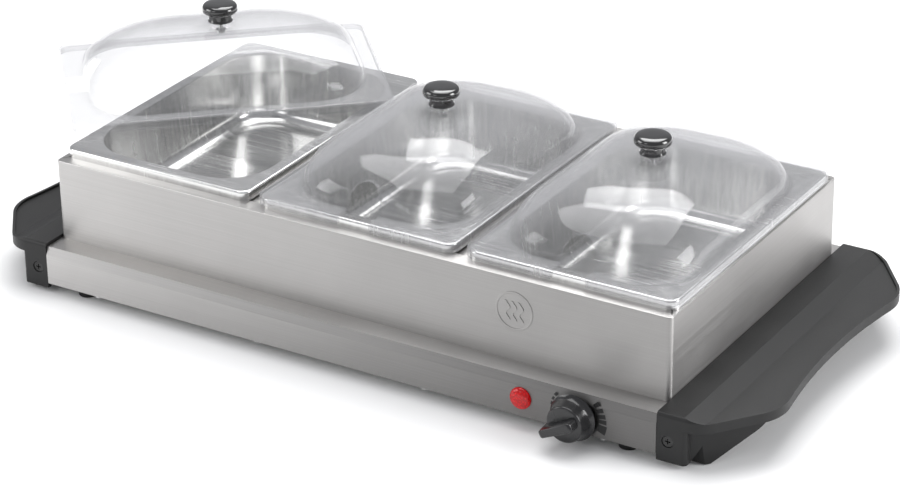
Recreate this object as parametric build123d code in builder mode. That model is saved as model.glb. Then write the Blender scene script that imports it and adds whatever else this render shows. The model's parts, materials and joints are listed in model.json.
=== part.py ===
from build123d import *
import math
import os

os.makedirs("parts", exist_ok=True)

# Three-pan electric buffet server. X runs along its length, Y to the back, Z up.
# The origin is on the table, under the middle of the tray. All sizes are in millimetres.

# ---------------------------------------------------------------- driving sizes
SHEET = 1.0  # folded stainless sheet of the tray and the frame
PAN_WIDTH = 168.0  # pan rim, across the server
PAN_LENGTH = 248.0  # pan rim, front to back
PAN_DEPTH = 58.0  # rim top to pan floor
PAN_SHEET = 0.8
PAN_SKIRT = 7.3  # height of the rolled rim's outer lip
PAN_BORDER = 7.0  # flat rim between the lip and the opening
PAN_RIM_RADIUS = 8.0
PAN_OPENING_RADIUS = 42.0
PAN_FLOOR_RADIUS = 12.0
PAN_TAPER = 6.0  # degrees
PAN_GAP = 11.0  # between neighbouring rims
END_MARGIN = 2.0  # from an outer rim to the frame's end face
FRONT_MARGIN = 9.4  # from a rim to the frame's front face
FRAME_HEIGHT = 65.6
FRAME_RADIUS = 4.0
FRAME_FOOT_FLANGE = 7.0
DIVIDER_WIDTH = 20.0
DIVIDER_HEIGHT = 11.0
TRAY_LEDGE = 20.0  # tray top that shows in front of the frame
TRAY_HEIGHT = 31.0
TRAY_FLANGE = 10.0
CHAMFER_RUN = 2.5
CHAMFER_DROP = 7.0
PANEL_RAISE = 2.0  # height of the warming panel over the ledge
PANEL_CLEARANCE = 1.5  # panel to the frame's foot flange
FOOT_HEIGHT = 7.0
FOOT_RADIUS = 8.0
HANDLE_REACH = 70.0  # widest part of a handle, beyond the tray
HANDLE_WAIST = 62.5  # the same at mid-depth
HANDLE_RISE = 2.5  # inner edge over the tray's ledge
HANDLE_WALL = 2.6
RIM_BEAD = 2.2
DIAL_FROM_END = 64.0  # dial's axis to the tray's right end
DIAL_RISE = 12.8  # tray's bottom edge to the dial's axis
LAMP_FROM_END = 108.0
LAMP_DROP = 9.3  # foot of the tray's bevel to the lamp's axis
GLAND_FROM_END = 60.0
GLAND_BORE_RADIUS = 3.75
LID_OVERHANG = 2.0
LID_SHEET = 2.0
LID_LIP = 5.0
LID_LIP_WALL = 1.5
DOME_HEIGHT = 40.0
DOME_BORDER = 11.0  # flange beside the dome
DOME_FRONT_BORDER = 15.0  # flange in front of the dome and behind it
DOME_POWER = 2.3  # how square the dome's crown is
NOTCH_WIDTH = 28.0
NOTCH_HEIGHT = 22.0
KNOB_RADIUS = 14.2
KNOB_TOP = 61.0  # knob's top over the pan rim
PARKED_LID_TURN = -48.5  # degrees, the left lid lies askew on its open pan
PARKED_LID_SHIFT = (-55.0, 46.0)  # from the middle of its pan

# ---------------------------------------------------------------- clearances
FIT = 0.1  # between two pieces that bolt or push together
HANDLE_GAP = 0.3  # handle to tray
RUNNING = 0.05  # radial, dial shaft in its bush

# ---------------------------------------------------------------- worked-out places
PAN_PITCH = PAN_WIDTH + PAN_GAP
FRAME_LENGTH = 3 * PAN_WIDTH + 2 * PAN_GAP + 2 * END_MARGIN
FRAME_DEPTH = PAN_LENGTH + 2 * FRONT_MARGIN
TRAY_LENGTH = FRAME_LENGTH
TRAY_DEPTH = FRAME_DEPTH + 2 * TRAY_LEDGE
TRAY_END = TRAY_LENGTH / 2
TRAY_FRONT = TRAY_DEPTH / 2
TRAY_BOTTOM = FOOT_HEIGHT + SHEET
TRAY_TOP = TRAY_BOTTOM + TRAY_HEIGHT
PANEL_TOP = TRAY_TOP + PANEL_RAISE
PANEL_UNDER = PANEL_TOP - SHEET
FRAME_TOP = TRAY_TOP + FRAME_HEIGHT
RIM_TOP = FRAME_TOP + PAN_SKIRT
OPENING_WIDTH = PAN_WIDTH - 2 * PAN_BORDER
OPENING_LENGTH = PAN_LENGTH - 2 * PAN_BORDER
DIAL_X = TRAY_END - DIAL_FROM_END
DIAL_Z = TRAY_BOTTOM + DIAL_RISE
LAMP_X = TRAY_END - LAMP_FROM_END
LAMP_Z = TRAY_TOP - CHAMFER_DROP - LAMP_DROP
GLAND_X = TRAY_END - GLAND_FROM_END
GLAND_Z = (TRAY_BOTTOM + SHEET + TRAY_TOP - CHAMFER_DROP) / 2  # midway up the flat back wall
SIDES = {"left": -1, "right": 1}
STATIONS = {"left": -PAN_PITCH, "center": 0.0, "right": PAN_PITCH}


def finish(piece, name):
    """Labels a finished piece and writes its STEP file."""
    piece.part.label = name
    export_step(piece.part, f"parts/{name}.step")


# ================================================================ tray
FOOT_X = TRAY_END - 28.0
FOOT_Y = TRAY_FRONT - 13.4
PANEL_LENGTH = FRAME_LENGTH - 2 * (SHEET + FRAME_FOOT_FLANGE + PANEL_CLEARANCE)
PANEL_DEPTH = FRAME_DEPTH - 2 * (SHEET + FRAME_FOOT_FLANGE + PANEL_CLEARANCE)
PANEL_RADIUS = 12.0
BASE_SCREW_Y = TRAY_FRONT - 6.5
BASE_SCREW_PITCH = TRAY_LENGTH / 3.6
BASE_SCREW_RADIUS = 1.75
BASE_SCREW_LENGTH = 8.0
BASE_HEAD_RADIUS = 3.4
BASE_HEAD_HEIGHT = 2.0
CROSS_WIDTH = 0.9  # arms of a screw head's cross recess
BRACKET_SHEET = 1.5
BRACKET_HEIGHT = 14.0
BRACKET_Z = TRAY_TOP - 19.0
BRACKET_LEG = 24.0
BRACKET_REACH = 18.0
BLOCK_WALL = 4.0  # front wall of a handle's end block
RIVET_RADIUS = 1.6
RIVET_SETBACKS = (10.0, 19.0)  # rivets, behind the bracket's front leg
BRACKET_FRONT = TRAY_FRONT - BLOCK_WALL - HANDLE_GAP
BUSH_RADIUS = 4.8
LENS_STEM_RADIUS = 6.8
GLAND_BODY_RADIUS = 7.9

rivet_places = [
    (sy * (BRACKET_FRONT - setback), BRACKET_Z) for sy in (-1, 1) for setback in RIVET_SETBACKS
]

with BuildPart() as tray_shell:
    with BuildSketch(Plane.YZ.offset(-TRAY_END)):
        with BuildLine():
            Polyline(
                (-TRAY_FRONT, TRAY_BOTTOM),
                (-TRAY_FRONT, TRAY_TOP - CHAMFER_DROP),
                (-TRAY_FRONT + CHAMFER_RUN, TRAY_TOP),
                (TRAY_FRONT - CHAMFER_RUN, TRAY_TOP),
                (TRAY_FRONT, TRAY_TOP - CHAMFER_DROP),
                (TRAY_FRONT, TRAY_BOTTOM),
                close=True,
            )
        make_face()
    extrude(amount=TRAY_LENGTH)
    offset(amount=-SHEET, openings=tray_shell.faces().sort_by(Axis.Z)[0])
    # return flange that the base plate screws to
    with BuildSketch(Plane.XY.offset(TRAY_BOTTOM)):
        Rectangle(TRAY_LENGTH - SHEET, TRAY_DEPTH - SHEET)
        Rectangle(TRAY_LENGTH - 2 * TRAY_FLANGE, TRAY_DEPTH - 2 * TRAY_FLANGE, mode=Mode.SUBTRACT)
    extrude(amount=SHEET)
    # raised warming panel
    with BuildSketch(Plane.XY.offset(TRAY_TOP - SHEET)):
        RectangleRounded(PANEL_LENGTH, PANEL_DEPTH, PANEL_RADIUS)
    extrude(amount=PANEL_RAISE + SHEET)
    chamfer(tray_shell.faces().sort_by(Axis.Z)[-1].edges(), 0.8 * SHEET)
    with BuildSketch(Plane.XY.offset(TRAY_TOP - 2 * SHEET)):
        RectangleRounded(PANEL_LENGTH - 2 * SHEET, PANEL_DEPTH - 2 * SHEET, PANEL_RADIUS - SHEET)
    extrude(amount=PANEL_RAISE + SHEET, mode=Mode.SUBTRACT)
    # front wall: dial bush and lens; back wall: cord gland
    with BuildSketch(Plane.XZ.offset(TRAY_FRONT)):
        with Locations((DIAL_X, DIAL_Z)):
            Circle(BUSH_RADIUS + FIT)
        with Locations((LAMP_X, LAMP_Z)):
            Circle(LENS_STEM_RADIUS + FIT)
    extrude(amount=-2 * SHEET, mode=Mode.SUBTRACT)
    with BuildSketch(Plane.XZ.offset(-TRAY_FRONT)):
        with Locations((GLAND_X, GLAND_Z)):
            Circle(GLAND_BODY_RADIUS + FIT)
    extrude(amount=2 * SHEET, mode=Mode.SUBTRACT)
    # rivet holes in the end walls, screw holes in the return flange
    with BuildSketch(Plane.YZ.offset(-TRAY_END)):
        with Locations(*rivet_places):
            Circle(RIVET_RADIUS + FIT)
    extrude(amount=TRAY_LENGTH, mode=Mode.SUBTRACT)
    with BuildSketch(Plane.XY.offset(TRAY_BOTTOM)):
        with GridLocations(BASE_SCREW_PITCH, 2 * BASE_SCREW_Y, 4, 2):
            Circle(BASE_SCREW_RADIUS + FIT)
    extrude(amount=SHEET, mode=Mode.SUBTRACT)
finish(tray_shell, "tray_shell")

BASE_MARGIN = 2.5
FOOT_HOLE_RADIUS = 2.1
SLOT_LENGTH = 30.0
SLOT_WIDTH = 4.0
with BuildPart() as base_plate:
    with BuildSketch(Plane.XY.offset(FOOT_HEIGHT)):
        RectangleRounded(TRAY_LENGTH - 2 * BASE_MARGIN, TRAY_DEPTH - 2 * BASE_MARGIN, FRAME_RADIUS)
        with GridLocations(TRAY_LENGTH / 9, TRAY_DEPTH / 8, 7, 5):
            SlotOverall(SLOT_LENGTH, SLOT_WIDTH, mode=Mode.SUBTRACT)
        with GridLocations(2 * FOOT_X, 2 * FOOT_Y, 2, 2):
            Circle(FOOT_HOLE_RADIUS, mode=Mode.SUBTRACT)
        with GridLocations(BASE_SCREW_PITCH, 2 * BASE_SCREW_Y, 4, 2):
            Circle(BASE_SCREW_RADIUS + FIT, mode=Mode.SUBTRACT)
    extrude(amount=SHEET)
finish(base_plate, "base_plate")

with BuildPart() as base_screws:
    with BuildSketch(Plane.XY.offset(FOOT_HEIGHT)):
        with GridLocations(BASE_SCREW_PITCH, 2 * BASE_SCREW_Y, 4, 2):
            Circle(BASE_SCREW_RADIUS)
    extrude(amount=BASE_SCREW_LENGTH)
    with BuildSketch(Plane.XY.offset(FOOT_HEIGHT - BASE_HEAD_HEIGHT)):
        with GridLocations(BASE_SCREW_PITCH, 2 * BASE_SCREW_Y, 4, 2):
            Circle(BASE_HEAD_RADIUS)
    extrude(amount=BASE_HEAD_HEIGHT)
    with BuildSketch(Plane.XY.offset(FOOT_HEIGHT - BASE_HEAD_HEIGHT)):
        with GridLocations(BASE_SCREW_PITCH, 2 * BASE_SCREW_Y, 4, 2):
            Rectangle(BASE_HEAD_RADIUS, CROSS_WIDTH)
            Rectangle(CROSS_WIDTH, BASE_HEAD_RADIUS)
    extrude(amount=BASE_HEAD_HEIGHT / 2, mode=Mode.SUBTRACT)
finish(base_screws, "base_screws")

FOOT_BORE_DEPTH = 4.0
FOOT_BORE_RADIUS = 4.6
FOOT_TAPER = 6.0  # degrees
FOOT_SCREW_LENGTH = 12.0
FOOT_HEAD_HEIGHT = 2.2
for depth, sy in {"front": -1, "back": 1}.items():
    for side, sx in SIDES.items():
        foot_plane = Plane(origin=(sx * FOOT_X, sy * FOOT_Y, FOOT_HEIGHT))
        with BuildPart() as foot:
            with BuildSketch(foot_plane):
                Circle(FOOT_RADIUS)
            extrude(amount=-FOOT_HEIGHT, taper=FOOT_TAPER)
            fillet(foot.faces().sort_by(Axis.Z)[0].edges(), 1.0)
            with BuildSketch(foot_plane.offset(-FOOT_HEIGHT)):
                Circle(FOOT_BORE_RADIUS)
            extrude(amount=FOOT_BORE_DEPTH, mode=Mode.SUBTRACT)
            with BuildSketch(foot_plane):
                Circle(FOOT_HOLE_RADIUS)
            extrude(amount=-FOOT_HEIGHT, mode=Mode.SUBTRACT)
        finish(foot, f"foot_{depth}_{side}")

with BuildPart() as foot_screws:
    with BuildSketch(Plane.XY.offset(FOOT_BORE_DEPTH)):
        with GridLocations(2 * FOOT_X, 2 * FOOT_Y, 2, 2):
            Circle(FOOT_HOLE_RADIUS - FIT)
    extrude(amount=FOOT_SCREW_LENGTH)
    with BuildSketch(Plane.XY.offset(FOOT_BORE_DEPTH)):
        with GridLocations(2 * FOOT_X, 2 * FOOT_Y, 2, 2):
            Circle(FOOT_BORE_RADIUS - 5 * FIT)
    extrude(amount=-FOOT_HEAD_HEIGHT)
    with BuildSketch(Plane.XY.offset(FOOT_BORE_DEPTH - FOOT_HEAD_HEIGHT)):
        with GridLocations(2 * FOOT_X, 2 * FOOT_Y, 2, 2):
            Rectangle(FOOT_BORE_RADIUS, CROSS_WIDTH)
            Rectangle(CROSS_WIDTH, FOOT_BORE_RADIUS)
    extrude(amount=FOOT_HEAD_HEIGHT / 2, mode=Mode.SUBTRACT)
finish(foot_screws, "foot_screws")

# ---------------------------------------------------------------- handles
HANDLE_INNER = TRAY_END + HANDLE_GAP
HANDLE_TOP = TRAY_TOP + HANDLE_RISE
LEG_BOTTOM = 1.0
BLOCK_BOTTOM = 4.0
BLOCK_LENGTH = 23.0  # end block, beyond the tray
BLOCK_DEPTH = 7.0
SKIRT_INSET = 4.0  # legs and walls stand in under the rim
RIM_BOTTOM = TRAY_TOP - 8.0
RIM_HEIGHT = TRAY_TOP - 1.0
DISH_BOTTOM = TRAY_TOP - 3.4
WING_UNDER = TRAY_TOP - 6.0
BAND_WIDTH = 21.0  # flat band beside the tray
NOTCH_APEX_Y = TRAY_FRONT - 13.5  # V between block and leg
NOTCH_APEX_Z = 16.0
LEG_FRONT = TRAY_FRONT - 15.0
LEG_BACK = TRAY_FRONT - 18.0
LEG_FADE = TRAY_FRONT - 52.0  # where the leg's web meets the rim
SCREW_X = TRAY_END + 9.0
SCREW_RADIUS = 1.9
SCREW_HEAD_RADIUS = 4.2
SCREW_HEAD_HEIGHT = 2.4
SCREW_SINK = 3.0
SCREW_LENGTH = 10.0
TOP_ROUNDING = 3.0
BLOCK_ROUNDING = 3.5
CREASE_RUN = 14.0  # from the flat band down to the rim's height
BEAD_SLOPE = 0.6
DISH_SLOPE = 1.2
BULGE_RADIUS = 38.0  # the wing's two outer corners
SHOULDER_RADIUS = 25.0  # where the wing's outline leaves the end block
BULGE_Y = 0.66 * TRAY_FRONT
CORNER_REACH = 2.5  # sharp corner to the rounded outline
SHOULDER_X = TRAY_END + 33.0  # sharp corner where the wing's outline starts to flare
WALL_SHOULDER_X = TRAY_END + 22.0  # the same for the walls below it
FAR = 200.0  # past everything on a handle


def wing_plan(inset=0.0, shoulder_x=SHOULDER_X):
    """Plan of the right wing: straight past the block, bulging at both ends, waisted between."""
    corner_x = TRAY_END + HANDLE_REACH + CORNER_REACH
    with BuildSketch(Plane.XY) as plan:
        with BuildLine():
            Polyline(
                (corner_x, BULGE_Y),
                (shoulder_x, TRAY_FRONT),
                (HANDLE_INNER, TRAY_FRONT),
                (HANDLE_INNER, -TRAY_FRONT),
                (shoulder_x, -TRAY_FRONT),
                (corner_x, -BULGE_Y),
            )
            ThreePointArc((corner_x, -BULGE_Y), (TRAY_END + HANDLE_WAIST, 0), (corner_x, BULGE_Y))
        make_face()
        fillet(plan.vertices().sort_by(Axis.X)[-2:], BULGE_RADIUS)
        fillet(plan.vertices().sort_by(Axis.X)[2:4], SHOULDER_RADIUS)
        if inset > 0:
            offset(amount=-inset)
    return plan.sketch


def top_section(rise, level):
    """Section of what is cut off over the wing: past the flat band it slopes, then runs level."""
    band = TRAY_END + BAND_WIDTH
    with BuildSketch(Plane.XY) as section:
        with BuildLine():
            Polyline(
                (band, HANDLE_TOP),
                (band + CREASE_RUN, level + rise),
                (band + FAR, level),
                (band + FAR, 2 * HANDLE_TOP),
                (band, 2 * HANDLE_TOP),
                close=True,
            )
        make_face()
    return section.sketch


def leg_opening(sy):
    """Side view of what is cut away under one end of a wing, round the block and the leg."""
    with BuildSketch(Plane.XY) as section:
        with BuildLine():
            Polyline(
                (sy * (TRAY_FRONT + 1), 0),
                (sy * (TRAY_FRONT + 1), BLOCK_BOTTOM),
                (sy * (TRAY_FRONT - BLOCK_DEPTH), BLOCK_BOTTOM),
                (sy * NOTCH_APEX_Y, NOTCH_APEX_Z),
                (sy * LEG_FRONT, LEG_BOTTOM),
                (sy * LEG_BACK, LEG_BOTTOM),
                (sy * LEG_FADE, RIM_BOTTOM),
                (0, RIM_BOTTOM),
                (0, 0),
                close=True,
            )
        make_face()
    return section.sketch


with BuildPart() as handle_right:
    # wing, then its top: a raised bead round the edge and a shallow dish inside it
    with BuildSketch(Plane.XY.offset(RIM_BOTTOM)):
        add(wing_plan())
    extrude(amount=HANDLE_TOP - RIM_BOTTOM)
    fillet(handle_right.edges().filter_by(Axis.X).group_by(Axis.Z)[-1], TOP_ROUNDING)
    with BuildSketch(Plane.XZ.offset(TRAY_DEPTH)):
        add(top_section(BEAD_SLOPE, RIM_HEIGHT))
    extrude(amount=-2 * TRAY_DEPTH, mode=Mode.SUBTRACT)
    with BuildPart(mode=Mode.PRIVATE) as dish:
        with BuildSketch(Plane.XZ.offset(TRAY_DEPTH)):
            add(top_section(DISH_SLOPE, DISH_BOTTOM))
        extrude(amount=-2 * TRAY_DEPTH)
        with BuildSketch(Plane.XY.offset(WING_UNDER)):
            add(wing_plan(RIM_BEAD))
        extrude(amount=2 * HANDLE_TOP, mode=Mode.INTERSECT)
    add(dish.part, mode=Mode.SUBTRACT)
    # walls and end blocks below the wing
    with BuildSketch(Plane.XY.offset(LEG_BOTTOM)):
        add(wing_plan(SKIRT_INSET, WALL_SHOULDER_X))
        with Locations((HANDLE_INNER + BLOCK_LENGTH / 2, 0)):
            with GridLocations(0, 2 * (TRAY_FRONT - BLOCK_DEPTH), 1, 2):
                RectangleRounded(BLOCK_LENGTH, 2 * BLOCK_DEPTH, BLOCK_ROUNDING)
        with Locations((HANDLE_INNER, 0)):
            Rectangle(2 * SKIRT_INSET, 2 * TRAY_FRONT)
            Rectangle(FAR, 2 * TRAY_DEPTH, align=(Align.MAX, Align.CENTER), mode=Mode.SUBTRACT)
    extrude(amount=RIM_BOTTOM - LEG_BOTTOM)
    # the underside is hollow
    with BuildSketch(Plane.XY.offset(LEG_BOTTOM)):
        add(wing_plan(SKIRT_INSET + HANDLE_WALL, WALL_SHOULDER_X))
    extrude(amount=WING_UNDER - LEG_BOTTOM, mode=Mode.SUBTRACT)
    # cross walls that close the legs' fronts
    with BuildSketch(Plane.XY.offset(LEG_BOTTOM), mode=Mode.PRIVATE) as cross_walls:
        with Locations((HANDLE_INNER, 0)):
            with GridLocations(0, 2 * LEG_FRONT - HANDLE_WALL, 1, 2):
                Rectangle(FAR, HANDLE_WALL, align=(Align.MIN, Align.CENTER))
    with BuildSketch(Plane.XY.offset(LEG_BOTTOM)):
        add(wing_plan(SKIRT_INSET, WALL_SHOULDER_X))
        add(cross_walls.sketch, mode=Mode.INTERSECT)
    extrude(amount=WING_UNDER - LEG_BOTTOM)
    for sy in (-1, 1):
        with BuildSketch(Plane.YZ.offset(TRAY_END - 1)):
            add(leg_opening(sy))
        extrude(amount=FAR, mode=Mode.SUBTRACT)
        # window for the corner bracket, and the screw's counterbored hole
        with BuildSketch(Plane.XY):
            with Locations((HANDLE_INNER, sy * (BRACKET_FRONT - BRACKET_LEG / 2))):
                Rectangle(2 * (BRACKET_REACH + 2.0), BRACKET_LEG + 2 * HANDLE_GAP)
        extrude(amount=RIM_BOTTOM, mode=Mode.SUBTRACT)
        screw_face = Plane(origin=(SCREW_X, sy * TRAY_FRONT, BRACKET_Z), z_dir=(0, sy, 0))
        with BuildSketch(screw_face):
            Circle(SCREW_RADIUS + 4 * FIT)
        extrude(amount=-2 * BLOCK_WALL, mode=Mode.SUBTRACT)
        with BuildSketch(screw_face):
            Circle(SCREW_HEAD_RADIUS + 4 * FIT)
        extrude(amount=-SCREW_SINK, mode=Mode.SUBTRACT)
finish(handle_right, "handle_right")

with BuildPart() as handle_left:
    add(mirror(handle_right.part, about=Plane.YZ, mode=Mode.PRIVATE))
finish(handle_left, "handle_left")

with BuildPart() as corner_brackets:
    for sx in (-1, 1):
        for sy in (-1, 1):
            with BuildSketch(Plane.XY.offset(BRACKET_Z - BRACKET_HEIGHT / 2)):
                leg_y = sy * (BRACKET_FRONT - BRACKET_LEG / 2)
                with Locations((sx * (TRAY_END + BRACKET_SHEET / 2), leg_y)):
                    Rectangle(BRACKET_SHEET, BRACKET_LEG)
                tab_y = sy * (BRACKET_FRONT - BRACKET_SHEET / 2)
                with Locations((sx * (TRAY_END + BRACKET_REACH / 2), tab_y)):
                    Rectangle(BRACKET_REACH, BRACKET_SHEET)
            extrude(amount=BRACKET_HEIGHT)
    with BuildSketch(Plane.XZ.offset(TRAY_FRONT)):
        with GridLocations(2 * SCREW_X, 0, 2, 1):
            with Locations((0, BRACKET_Z)):
                Circle(SCREW_RADIUS + FIT)
    extrude(amount=-TRAY_DEPTH, mode=Mode.SUBTRACT)
    with BuildSketch(Plane.YZ.offset(-TRAY_END - 2 * BRACKET_SHEET)):
        with Locations(*rivet_places):
            Circle(RIVET_RADIUS + FIT)
    extrude(amount=TRAY_LENGTH + 4 * BRACKET_SHEET, mode=Mode.SUBTRACT)
finish(corner_brackets, "corner_brackets")

RIVET_HEAD_RADIUS = 2.8
RIVET_HEAD_HEIGHT = 1.0
with BuildPart() as bracket_rivets:
    for sx in (-1, 1):
        inner_face = sx * (TRAY_END - SHEET)
        outer_face = sx * (TRAY_END + BRACKET_SHEET)
        rivet_steps = [
            (inner_face, RIVET_RADIUS, SHEET + BRACKET_SHEET),
            (inner_face - sx * RIVET_HEAD_HEIGHT, RIVET_HEAD_RADIUS, RIVET_HEAD_HEIGHT),
            (outer_face, RIVET_HEAD_RADIUS, RIVET_HEAD_HEIGHT),
        ]
        for start_x, radius, length in rivet_steps:
            with BuildSketch(Plane.YZ.offset(start_x)):
                with Locations(*rivet_places):
                    Circle(radius)
            extrude(amount=sx * length)
finish(bracket_rivets, "bracket_rivets")

with BuildPart() as handle_screws:
    for sy in (-1, 1):
        seat = Plane.XZ.offset(-sy * (TRAY_FRONT - SCREW_SINK))
        with BuildSketch(seat):
            with GridLocations(2 * SCREW_X, 0, 2, 1):
                with Locations((0, BRACKET_Z)):
                    Circle(SCREW_RADIUS)
        extrude(amount=sy * SCREW_LENGTH)
        with BuildSketch(seat):
            with GridLocations(2 * SCREW_X, 0, 2, 1):
                with Locations((0, BRACKET_Z)):
                    Circle(SCREW_HEAD_RADIUS)
        extrude(amount=-sy * SCREW_HEAD_HEIGHT)
        with BuildSketch(seat.offset(-sy * SCREW_HEAD_HEIGHT)):
            with GridLocations(2 * SCREW_X, 0, 2, 1):
                with Locations((0, BRACKET_Z)):
                    Rectangle(SCREW_HEAD_RADIUS, CROSS_WIDTH)
                    Rectangle(CROSS_WIDTH, SCREW_HEAD_RADIUS)
        extrude(amount=sy * SCREW_HEAD_HEIGHT / 2, mode=Mode.SUBTRACT)
finish(handle_screws, "handle_screws")

# ================================================================ heater
TUBE_RADIUS = 3.25
TUBE_Z = PANEL_UNDER - TUBE_RADIUS - 0.2
RUN_PITCH = PANEL_DEPTH / 4.4
RUN_END = TRAY_END - 55.0
COLD_END = TRAY_END - 33.0
STUD_RADIUS = 2.0
CLAMP_PITCH = RUN_END / 1.5
CLAMP_SHEET = 1.2
CLAMP_WIDTH = 14.0
CLAMP_TOP = TUBE_Z - TUBE_RADIUS - FIT
NUT_HEIGHT = 3.2
NUT_RADIUS = 3.5  # half across flats
REFLECTOR_SHEET = 0.6
REFLECTOR_WALL = 4.0
REFLECTOR_TOP = CLAMP_TOP - CLAMP_SHEET - NUT_HEIGHT
REFLECTOR_X = COLD_END - 8.0
REFLECTOR_Y = 1.5 * RUN_PITCH + 8.0
STUD_BOTTOM = REFLECTOR_TOP - REFLECTOR_SHEET - NUT_HEIGHT - 2.0
INSULATOR_RADIUS = TUBE_RADIUS
TAB_WIDTH = 4.8
TAB_SHEET = 0.8
INSULATOR_LENGTH = 10.0

heater_route = [
    (COLD_END, -1.5 * RUN_PITCH),
    (-RUN_END, -1.5 * RUN_PITCH),
    (-RUN_END, -0.5 * RUN_PITCH),
    (RUN_END, -0.5 * RUN_PITCH),
    (RUN_END, 0.5 * RUN_PITCH),
    (-RUN_END, 0.5 * RUN_PITCH),
    (-RUN_END, 1.5 * RUN_PITCH),
    (COLD_END, 1.5 * RUN_PITCH),
]
with BuildPart() as heating_element:
    with BuildLine(Plane.XY.offset(TUBE_Z)):
        tube = FilletPolyline(*heater_route, radius=0.48 * RUN_PITCH)
    with BuildSketch(Plane(origin=tube @ 0, z_dir=tube % 0)):
        Circle(TUBE_RADIUS)
    sweep(path=tube)
finish(heating_element, "heating_element")

element_ends = [(sy * 1.5 * RUN_PITCH, TUBE_Z) for sy in (-1, 1)]
with BuildPart() as element_insulators:
    with BuildSketch(Plane.YZ.offset(COLD_END)):
        with Locations(*element_ends):
            Circle(INSULATOR_RADIUS)
    extrude(amount=INSULATOR_LENGTH)
    with BuildSketch(Plane.YZ.offset(COLD_END + INSULATOR_LENGTH / 2)):
        with Locations(*element_ends):
            Rectangle(TAB_WIDTH + FIT, TAB_SHEET + FIT)
    extrude(amount=INSULATOR_LENGTH / 2, mode=Mode.SUBTRACT)
finish(element_insulators, "element_insulators")

TAB_END = COLD_END + INSULATOR_LENGTH + 7.0
with BuildPart() as element_tabs:
    with BuildSketch(Plane.YZ.offset(COLD_END + INSULATOR_LENGTH / 2)):
        with Locations(*element_ends):
            Rectangle(TAB_WIDTH, TAB_SHEET)
    extrude(amount=TAB_END - COLD_END - INSULATOR_LENGTH / 2)
finish(element_tabs, "element_tabs")

with BuildPart() as clamp_bars:
    with BuildSketch(Plane.XY.offset(CLAMP_TOP)):
        with GridLocations(CLAMP_PITCH, 0, 3, 1):
            SlotOverall(3 * RUN_PITCH + 12.0, CLAMP_WIDTH, rotation=90)
        with GridLocations(CLAMP_PITCH, 2 * RUN_PITCH, 3, 2):
            Circle(STUD_RADIUS + 2 * FIT, mode=Mode.SUBTRACT)
    extrude(amount=-CLAMP_SHEET)
finish(clamp_bars, "clamp_bars")

with BuildPart() as weld_studs:
    with BuildSketch(Plane.XY.offset(PANEL_UNDER)):
        with GridLocations(CLAMP_PITCH, 2 * RUN_PITCH, 3, 2):
            Circle(STUD_RADIUS)
    extrude(amount=STUD_BOTTOM - PANEL_UNDER)
finish(weld_studs, "weld_studs")

nut_levels = {"clamp_nuts": CLAMP_TOP - CLAMP_SHEET, "reflector_nuts": REFLECTOR_TOP - REFLECTOR_SHEET}
for name, nut_top in nut_levels.items():
    with BuildPart() as nuts:
        with BuildSketch(Plane.XY.offset(nut_top)):
            with GridLocations(CLAMP_PITCH, 2 * RUN_PITCH, 3, 2):
                RegularPolygon(NUT_RADIUS, 6, major_radius=False)
                Circle(STUD_RADIUS + RUNNING, mode=Mode.SUBTRACT)
        extrude(amount=-NUT_HEIGHT)
    finish(nuts, name)

with BuildPart() as heat_reflector:
    with BuildSketch(Plane.XY.offset(REFLECTOR_TOP - REFLECTOR_SHEET)):
        Rectangle(2 * REFLECTOR_X, 2 * REFLECTOR_Y)
    extrude(amount=REFLECTOR_WALL)
    with BuildSketch(Plane.XY.offset(REFLECTOR_TOP)):
        Rectangle(2 * (REFLECTOR_X - REFLECTOR_SHEET), 2 * (REFLECTOR_Y - REFLECTOR_SHEET))
    extrude(amount=REFLECTOR_WALL, mode=Mode.SUBTRACT)
    with BuildSketch(Plane.XY.offset(REFLECTOR_TOP - REFLECTOR_SHEET)):
        with GridLocations(CLAMP_PITCH, 2 * RUN_PITCH, 3, 2):
            Circle(STUD_RADIUS + 2 * FIT)
    extrude(amount=REFLECTOR_SHEET, mode=Mode.SUBTRACT)
finish(heat_reflector, "heat_reflector")

# ================================================================ thermostat and dial
WALL_INSIDE = TRAY_FRONT - SHEET
CASE_WIDTH = 26.0
CASE_HEIGHT = 22.0
CASE_FRONT = WALL_INSIDE - CHAMFER_RUN  # clear of the sloping bevel
CASE_BACK = CASE_FRONT - 22.0
BUSH_END = TRAY_FRONT + 2.5
SHAFT_RADIUS = 3.0
SHAFT_BACK = CASE_BACK + 8.0
NUT_THICK = 2.0
BUSH_NUT_RADIUS = 7.0  # half across flats
TAB_LENGTH = 8.0
TAB_SPREAD = 7.0  # each terminal from the dial's axis
TAB_Z = DIAL_Z - 5.0
TAB_RISE = 9.0  # from the lower terminals to the upper one

with BuildPart() as thermostat_body:
    with BuildSketch(Plane.XZ.offset(CASE_BACK)):
        with Locations((DIAL_X, DIAL_Z)):
            RectangleRounded(CASE_WIDTH, CASE_HEIGHT, 2)
    extrude(amount=CASE_FRONT - CASE_BACK)
    with BuildSketch(Plane.XZ.offset(CASE_FRONT)):
        with Locations((DIAL_X, DIAL_Z)):
            Circle(BUSH_RADIUS)
    extrude(amount=BUSH_END - CASE_FRONT)
    with BuildSketch(Plane.XZ.offset(BUSH_END)):
        with Locations((DIAL_X, DIAL_Z)):
            Circle(SHAFT_RADIUS + RUNNING)
    extrude(amount=SHAFT_BACK - 0.5 - BUSH_END, mode=Mode.SUBTRACT)
finish(thermostat_body, "thermostat_body")

with BuildPart() as thermostat_nut:
    with BuildSketch(Plane.XZ.offset(TRAY_FRONT)):
        with Locations((DIAL_X, DIAL_Z)):
            RegularPolygon(BUSH_NUT_RADIUS, 6, major_radius=False)
            Circle(BUSH_RADIUS + RUNNING, mode=Mode.SUBTRACT)
    extrude(amount=NUT_THICK)
finish(thermostat_nut, "thermostat_nut")

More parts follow.
